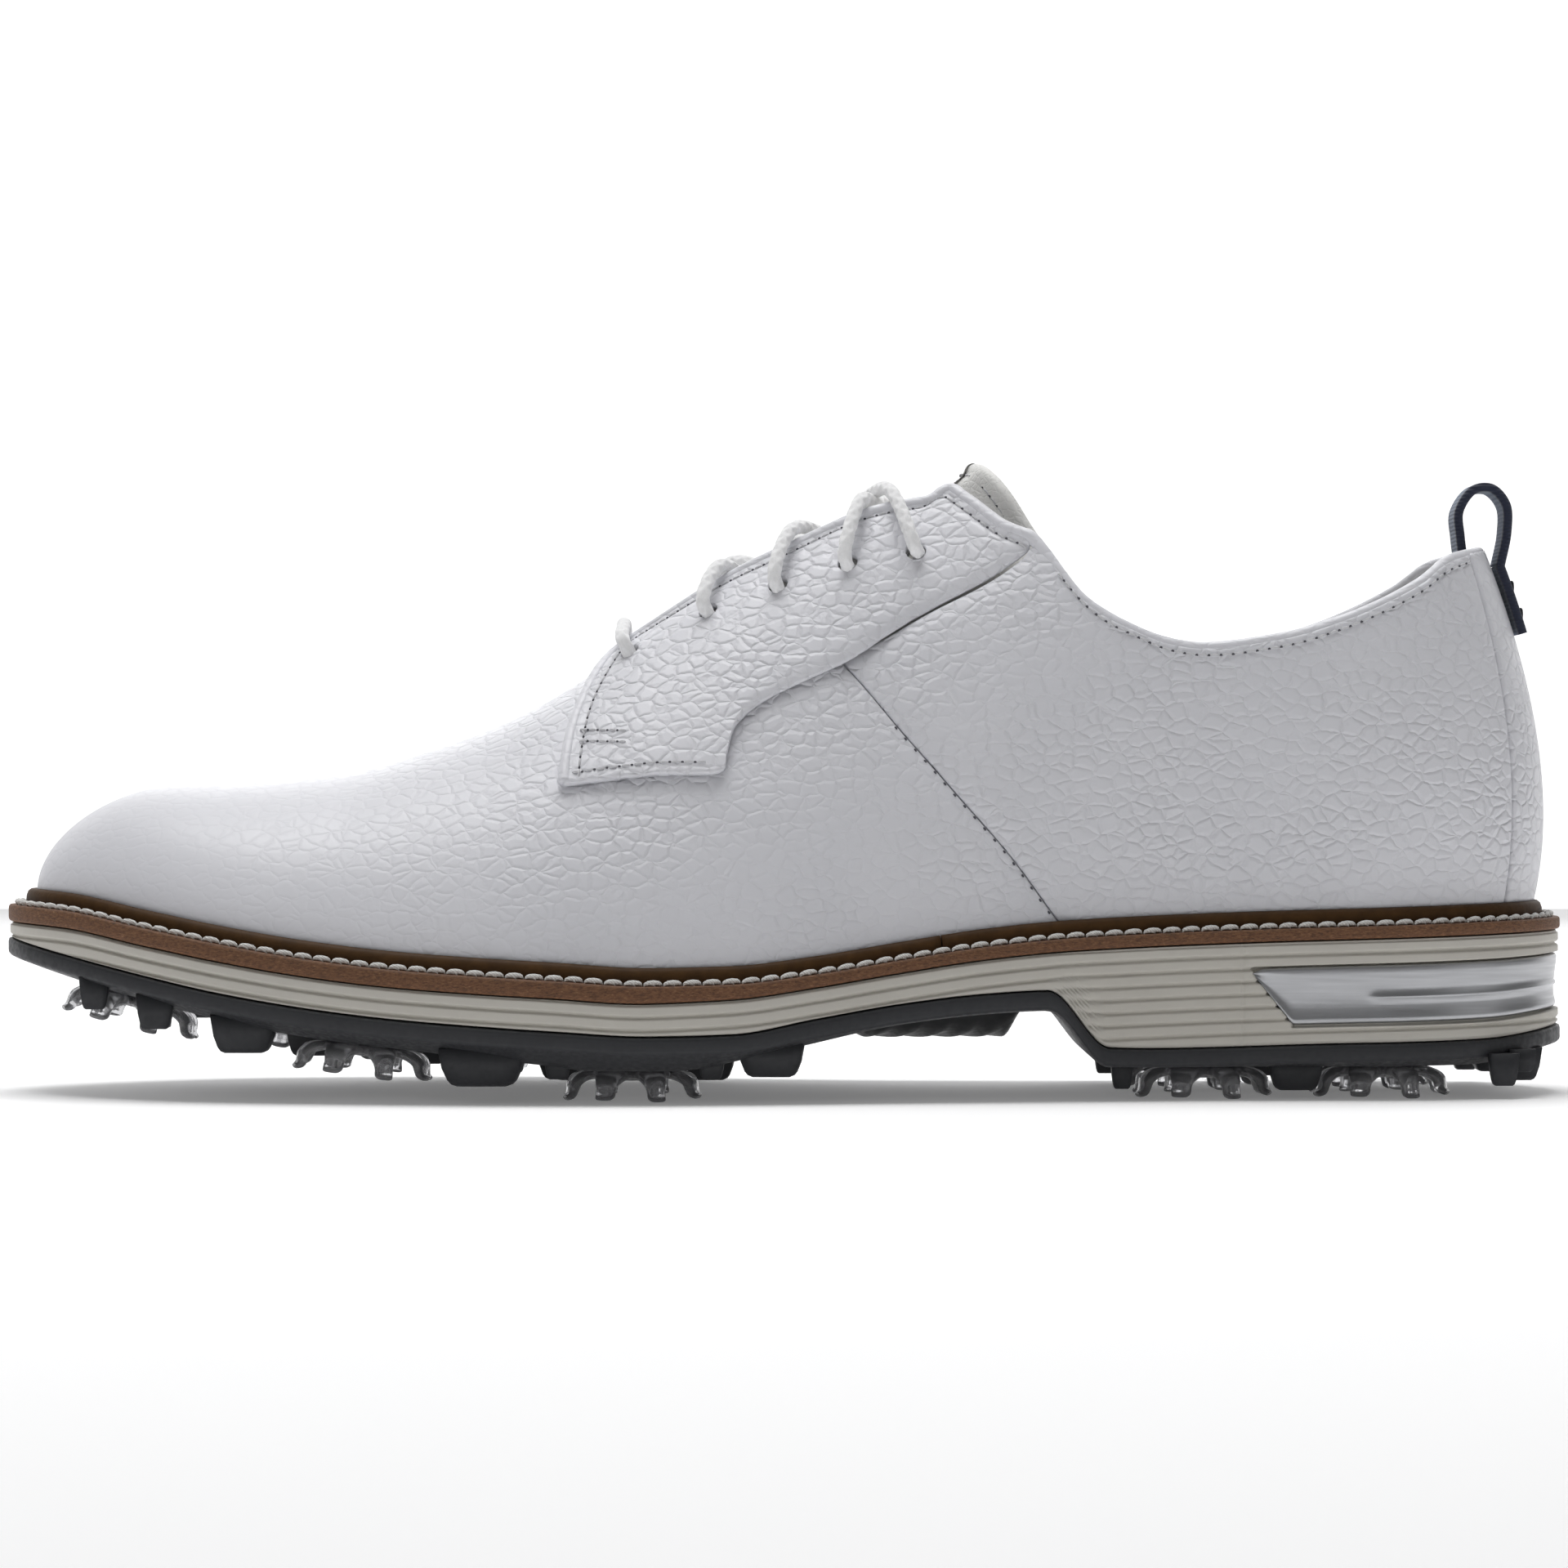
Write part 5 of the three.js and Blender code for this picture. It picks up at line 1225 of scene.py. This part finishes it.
def cleatMesh(name):
    hub = lathe("hub", [(3.6, -.3), (8.0, -.3), (8.45, -.5), (8.5, -.9), (8.4, -1.6), (7.9, -2.0),
                        (6.4, -2.05), (5.9, -1.75), (5.2, -1.7), (4.6, -2.3), (3.2, -2.55), (1.4, -2.6)])
    legs = []
    for i in range(cleat["legs"]):
        angle = 2 * math.pi * (i + .5) / cleat["legs"]
        spine = np.array([(6.0, -1.3, 3.6, .8), (8.6, -1.3, 3.3, .9), (10.6, -1.8, 2.7, 1.0),
                          (11.9, -2.9, 2.1, 1.1), (12.3, -4.2, 1.75, 1.0), (12.7, -5.2, 1.8, .8),
                          (13.6, -5.75, 1.5, .45)])  # each row: radius, height, half width, half depth
        if i % 2:  # every second leg is the longer, wider hook
            spine[:, 0] = np.minimum(spine[:, 0], cleat["diameter"] / 2 - .9)
            spine[:, 2] *= 1.12
            spine[3:, 1] += [0.2, .3, .35, .3]
        spine = smoothLine(spine, 22)
        rings = []
        for k, (r, z, wide, deep) in enumerate(spine):
            d = spine[min(k + 1, 21), :2] - spine[max(k - 1, 0), :2]
            d /= np.linalg.norm(d)
            ring = []
            for j in range(14):
                t = 2 * math.pi * j / 14
                ct = math.copysign(abs(math.cos(t)) ** .7, math.cos(t))
                st = math.copysign(abs(math.sin(t)) ** .7, math.sin(t))
                r2, z2, w2 = r - d[1] * st * deep, z + d[0] * st * deep, ct * wide
                z2 = max(z2, .02 - cleat["height"])
                ring.append([r2 * math.cos(angle) - w2 * math.sin(angle),
                             r2 * math.sin(angle) + w2 * math.cos(angle), z2])
            rings.append(ring)
        legs.append(tubePiece("leg", np.array(rings)))
    stud = lathe("stud", [(4.2, -1.2), (4.2, 1.7), (3.9, 2.0), (2.0, 2.0)], 32)
    return joinPieces(name, [hub, stud] + legs)


cleatPieces = []
for name, s, distance, side in cleatPlaces:
    made = cleatMesh("cleat_clear_" + name)
    slope = float(belly(s + .02) - belly(s - .02)) / (.04 * soleLength)
    tilt = -math.atan(slope)
    co = local(made)
    x = co[:, 0] * math.cos(tilt) + co[:, 2] * math.sin(tilt)
    z = -co[:, 0] * math.sin(tilt) + co[:, 2] * math.cos(tilt)
    moved = np.stack([x + toeX + s * soleLength, co[:, 1] + side * distance, z + float(belly(s))], -1)
    made.data.vertices.foreach_set("co", toMetres(moved).ravel())
    made.data.update()
    show(made, "cleat_body_" + name, "cleat_clear", "cleat_" + name)
    cleatPieces.append(made)
print("cleats")

stitches = joinPieces("upper_stitches", threadPieces)
show(stitches, "shoe", "thread")
# the dark capsules of painted shade at the stitch holes
holes = joinPieces("painted_hole_shades", holeShadePieces)
show(holes, "shoe", "thread")

# finishes
# vertices know how strongly the leather's grain shows: little at the toe, most on the quarters
for piece in leatherPieces:
    co = local(piece)
    s = (co[:, 0] - toeX) / soleLength
    grain = 0.16 + 0.84 * ease(s, .14, .42)
    grain *= 0.65 + 0.35 * ease(co[:, 2], 30, 55)
    if piece is collarRoll:
        grain = grain * 0.35
    paint(piece, "grain", grain)

leather = Finish("white_leather", Roughness=0.42, Specular_IOR_Level=0.45, Coat_Weight=0.12,
                 Coat_Roughness=0.35)
grain = leather.painted("grain")
warp = leather.node("ShaderNodeVectorMath", {"operation": "MULTIPLY_ADD"},
                    {0: leather.noise(340, output=1), 1: (0.0018, 0.0018, 0.0018),
                     2: leather.stretch(1, 1, 1.35)})
crease = leather.range(leather.cells(300, place=warp), 0, .26, 0, 1) ** 0.55
patches = leather.range(leather.noise(45, 2), .35, .65, .6, 1.0)
pores = leather.noise(2600, 2)
broad = leather.noise(38, 3)
leather.feed(Base_Color=leather.blend(broad * 0.7, (.735, .735, .77, 1), (.665, .67, .71, 1)),
             Roughness=leather.range(crease, 0, 1, .56, .4))
leather.bump((crease * patches + pores * 0.05) * grain, 0.00027, 1.0)
leather.on(*leatherPieces)

soft = Finish("lining_leather", Roughness=0.62, Specular_IOR_Level=0.35)
soft.feed(Base_Color=soft.blend(soft.noise(60, 3), (.70, .69, .665, 1), (.60, .595, .58, 1)))
soft.bump(soft.range(soft.cells(1100), 0, .2, 0, 1) + soft.noise(300, 3) * .6, 0.00008, 0.6)
soft.on(lining, foam, *[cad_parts[n] for n in ("vamp_lining", "toe_puff", "facing_lining_lateral",
                                                    "facing_lining_medial")])

cloth = Finish("tongue_cover", Roughness=0.55, Sheen_Weight=0.2, Specular_IOR_Level=0.35)
cloth.feed(Base_Color=cloth.blend(cloth.noise(70, 3), (.83, .825, .80, 1), (.76, .755, .735, 1)))
cloth.bump(cloth.range(cloth.cells(800), 0, .2, 0, 1) + cloth.noise(400, 3) * .5, 0.0001, 0.6)
cloth.on(tongue)

rubber = Finish("outsole_rubber", Roughness=0.5, Specular_IOR_Level=0.32)
speck = rubber.noise(900, 3)
rubber.feed(Base_Color=rubber.blend(rubber.noise(50, 4), (.036, .037, .041, 1), (.024, .025, .028, 1)),
            Roughness=rubber.range(speck, .3, .7, .42, .62))
rubber.bump(speck + rubber.noise(3000, 1) * .4, 0.00006, 0.5)
rubber.on(outsole, lugs, tread)

stone = Finish("midsole_foam", Roughness=0.6, Specular_IOR_Level=0.35)
stone.feed(Base_Color=stone.blend(stone.noise(45, 4), (.56, .54, .49, 1), (.49, .468, .425, 1)),
           Roughness=stone.range(stone.noise(1200, 2), .3, .7, .5, .7))
stone.bump(stone.noise(1800, 3), 0.00005, 0.5)
stone.on(midsole)

board = Finish("welt_board", Roughness=0.7)
layers = board.node("ShaderNodeTexNoise", None,
                    {"Vector": board.stretch(1, 1, 3.2), "Scale": 1100.0, "Detail": 5.0, "Roughness": 0.75})
board.feed(Base_Color=board.ramp(layers, (.3, (.035, .016, .007)), (.48, (.125, .052, .020)),
                                 (.62, (.19, .086, .036)), (.76, (.34, .22, .12))))
board.bump(layers, 0.00018, 0.7)
board.on(welt)

brown = Finish("rand_board", Roughness=0.6, Specular_IOR_Level=0.15)
brown.feed(Base_Color=brown.blend(brown.noise(350, 4), (.030, .013, .003, 1), (.085, .040, .011, 1)))
brown.bump(brown.noise(900, 3), 0.0001, 0.6)
brown.on(randFront, randBack)

yarn = Finish("thread", Roughness=0.75, Sheen_Weight=0.3)
twist = yarn.node("ShaderNodeTexWave", {"bands_direction": "DIAGONAL"},
                  {"Vector": yarn.place, "Scale": 900.0, "Distortion": 1.5})
yarn.feed(Base_Color=yarn.blend(twist, (.80, .79, .76, 1), (.62, .61, .585, 1)))
yarn.bump(twist, 0.00012, 0.7)
yarn.on(weltStitches)

# the upper and tongue stitches are greyed darker than the welt thread: painted shade of the sunk stitch rows,
# the thread itself being white
shadedSeamYarn = Finish("seam_thread_shaded", Roughness=0.7, Sheen_Weight=0.2)
ply = shadedSeamYarn.noise(1800, 2)
shadedSeamYarn.feed(Base_Color=shadedSeamYarn.blend(ply, (.66, .66, .68, 1), (.48, .48, .50, 1)))
shadedSeamYarn.bump(ply, 0.0001, 0.6)
shadedSeamYarn.on(stitches, tongueStitches)

black = Finish("black_thread", Roughness=0.7)
black.feed(Base_Color=black.blend(black.noise(2500, 2), (.012, .013, .018, 1), (.035, .037, .045, 1)))
black.bump(black.noise(2600, 2), 0.0001, 0.6)
black.on(bartack)

# near-black finish for the stitch-hole capsules: painted shade of the holes
pit = Finish("painted_hole_shade", Roughness=0.8)
pit.feed(Base_Color=pit.blend(pit.noise(2500, 2), (.05, .05, .06, 1), (.12, .12, .135, 1)))
pit.bump(pit.noise(2600, 2), 0.0001, 0.5)
pit.on(holes)

satin = Finish("heel_panel_satin", Metallic=0.9, Roughness=0.36, Coat_Weight=0.2, Coat_Roughness=0.3)
brushed = satin.noise(60, 3, place=satin.stretch(1, 1, 30))
satin.feed(Base_Color=satin.blend(brushed, (.46, .465, .48, 1), (.36, .365, .38, 1)),
           Roughness=satin.range(brushed, .3, .7, .3, .42))
satin.bump(brushed, 0.00002, 0.4)
satin.on(panel)

clear = Finish("cleat_clear", Transmission_Weight=0.88, IOR=1.45, Roughness=0.1)
smoke = clear.noise(160, 2)
clear.feed(Base_Color=clear.blend(smoke, (.86, .86, .87, 1), (.62, .62, .64, 1)),
           Roughness=clear.range(smoke, .3, .7, .06, .18))
clear.bump(smoke, 0.0001, 0.3)
clear.on(*cleatPieces)

dark = Finish("socket_black", Roughness=0.4, Specular_IOR_Level=0.5)
dark.feed(Base_Color=dark.blend(dark.noise(300, 3), (.012, .013, .014, 1), (.03, .031, .033, 1)),
          Roughness=dark.range(dark.noise(900, 2), .3, .7, .32, .5))
dark.bump(dark.noise(1800, 2), 0.00004, 0.4)
dark.on(bridge, *[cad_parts["socket_" + p[0]] for p in cleatPlaces])

cotton = Finish("lace_cotton", Roughness=0.85, Sheen_Weight=0.35)
fibre = cotton.noise(2600, 3)
cotton.feed(Base_Color=cotton.blend(fibre, (.93, .93, .93, 1), (.80, .80, .81, 1)))
cotton.bump(fibre, 0.00012, 0.6)
cotton.on(braided)

webbing = Finish("loop_webbing", Roughness=0.8, Sheen_Weight=0.3)
weave = webbing.node("ShaderNodeTexWave", {"bands_direction": "Z"},
                     {"Vector": webbing.place, "Scale": 420.0, "Distortion": 1.0})
face = webbing.blend(weave, (.13, .17, .24, 1), (.07, .10, .16, 1))
webbing.feed(Base_Color=webbing.blend(webbing.painted("edge"), face, (.008, .013, .035, 1)))
webbing.bump(weave + webbing.noise(2200, 2) * .4, 0.00015, 0.7)
webbing.on(pull, tab)

bedFinish = Finish("insole", Roughness=0.75)
bedFinish.feed(Base_Color=bedFinish.blend(bedFinish.noise(120, 4), (.42, .42, .43, 1), (.33, .33, .345, 1)))
bedFinish.bump(bedFinish.range(bedFinish.cells(700), 0, .25, 0, 1), 0.0001, 0.5)
bedFinish.on(bed)

hidden = dict(  # light tone, dark tone, scale of the grain
    insole_board=((.46, .33, .18), (.38, .26, .14), 700), heel_counter=((.5, .38, .24), (.4, .3, .18), 600),
    cork_filler=((.36, .22, .1), (.2, .11, .05), 450), shank=((.42, .43, .45), (.33, .34, .36), 200))
for node, (lightTone, darkTone, scale) in hidden.items():
    finish = Finish(node + "_finish", Roughness=0.7)
    if node == "shank":
        finish.shader.inputs["Metallic"].default_value = 1
    finish.feed(Base_Color=finish.blend(finish.noise(scale, 4), (*lightTone, 1), (*darkTone, 1)))
    finish.bump(finish.noise(scale * 2, 3), 0.0001, 0.5)
    finish.on(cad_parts[node])
print("finishes")
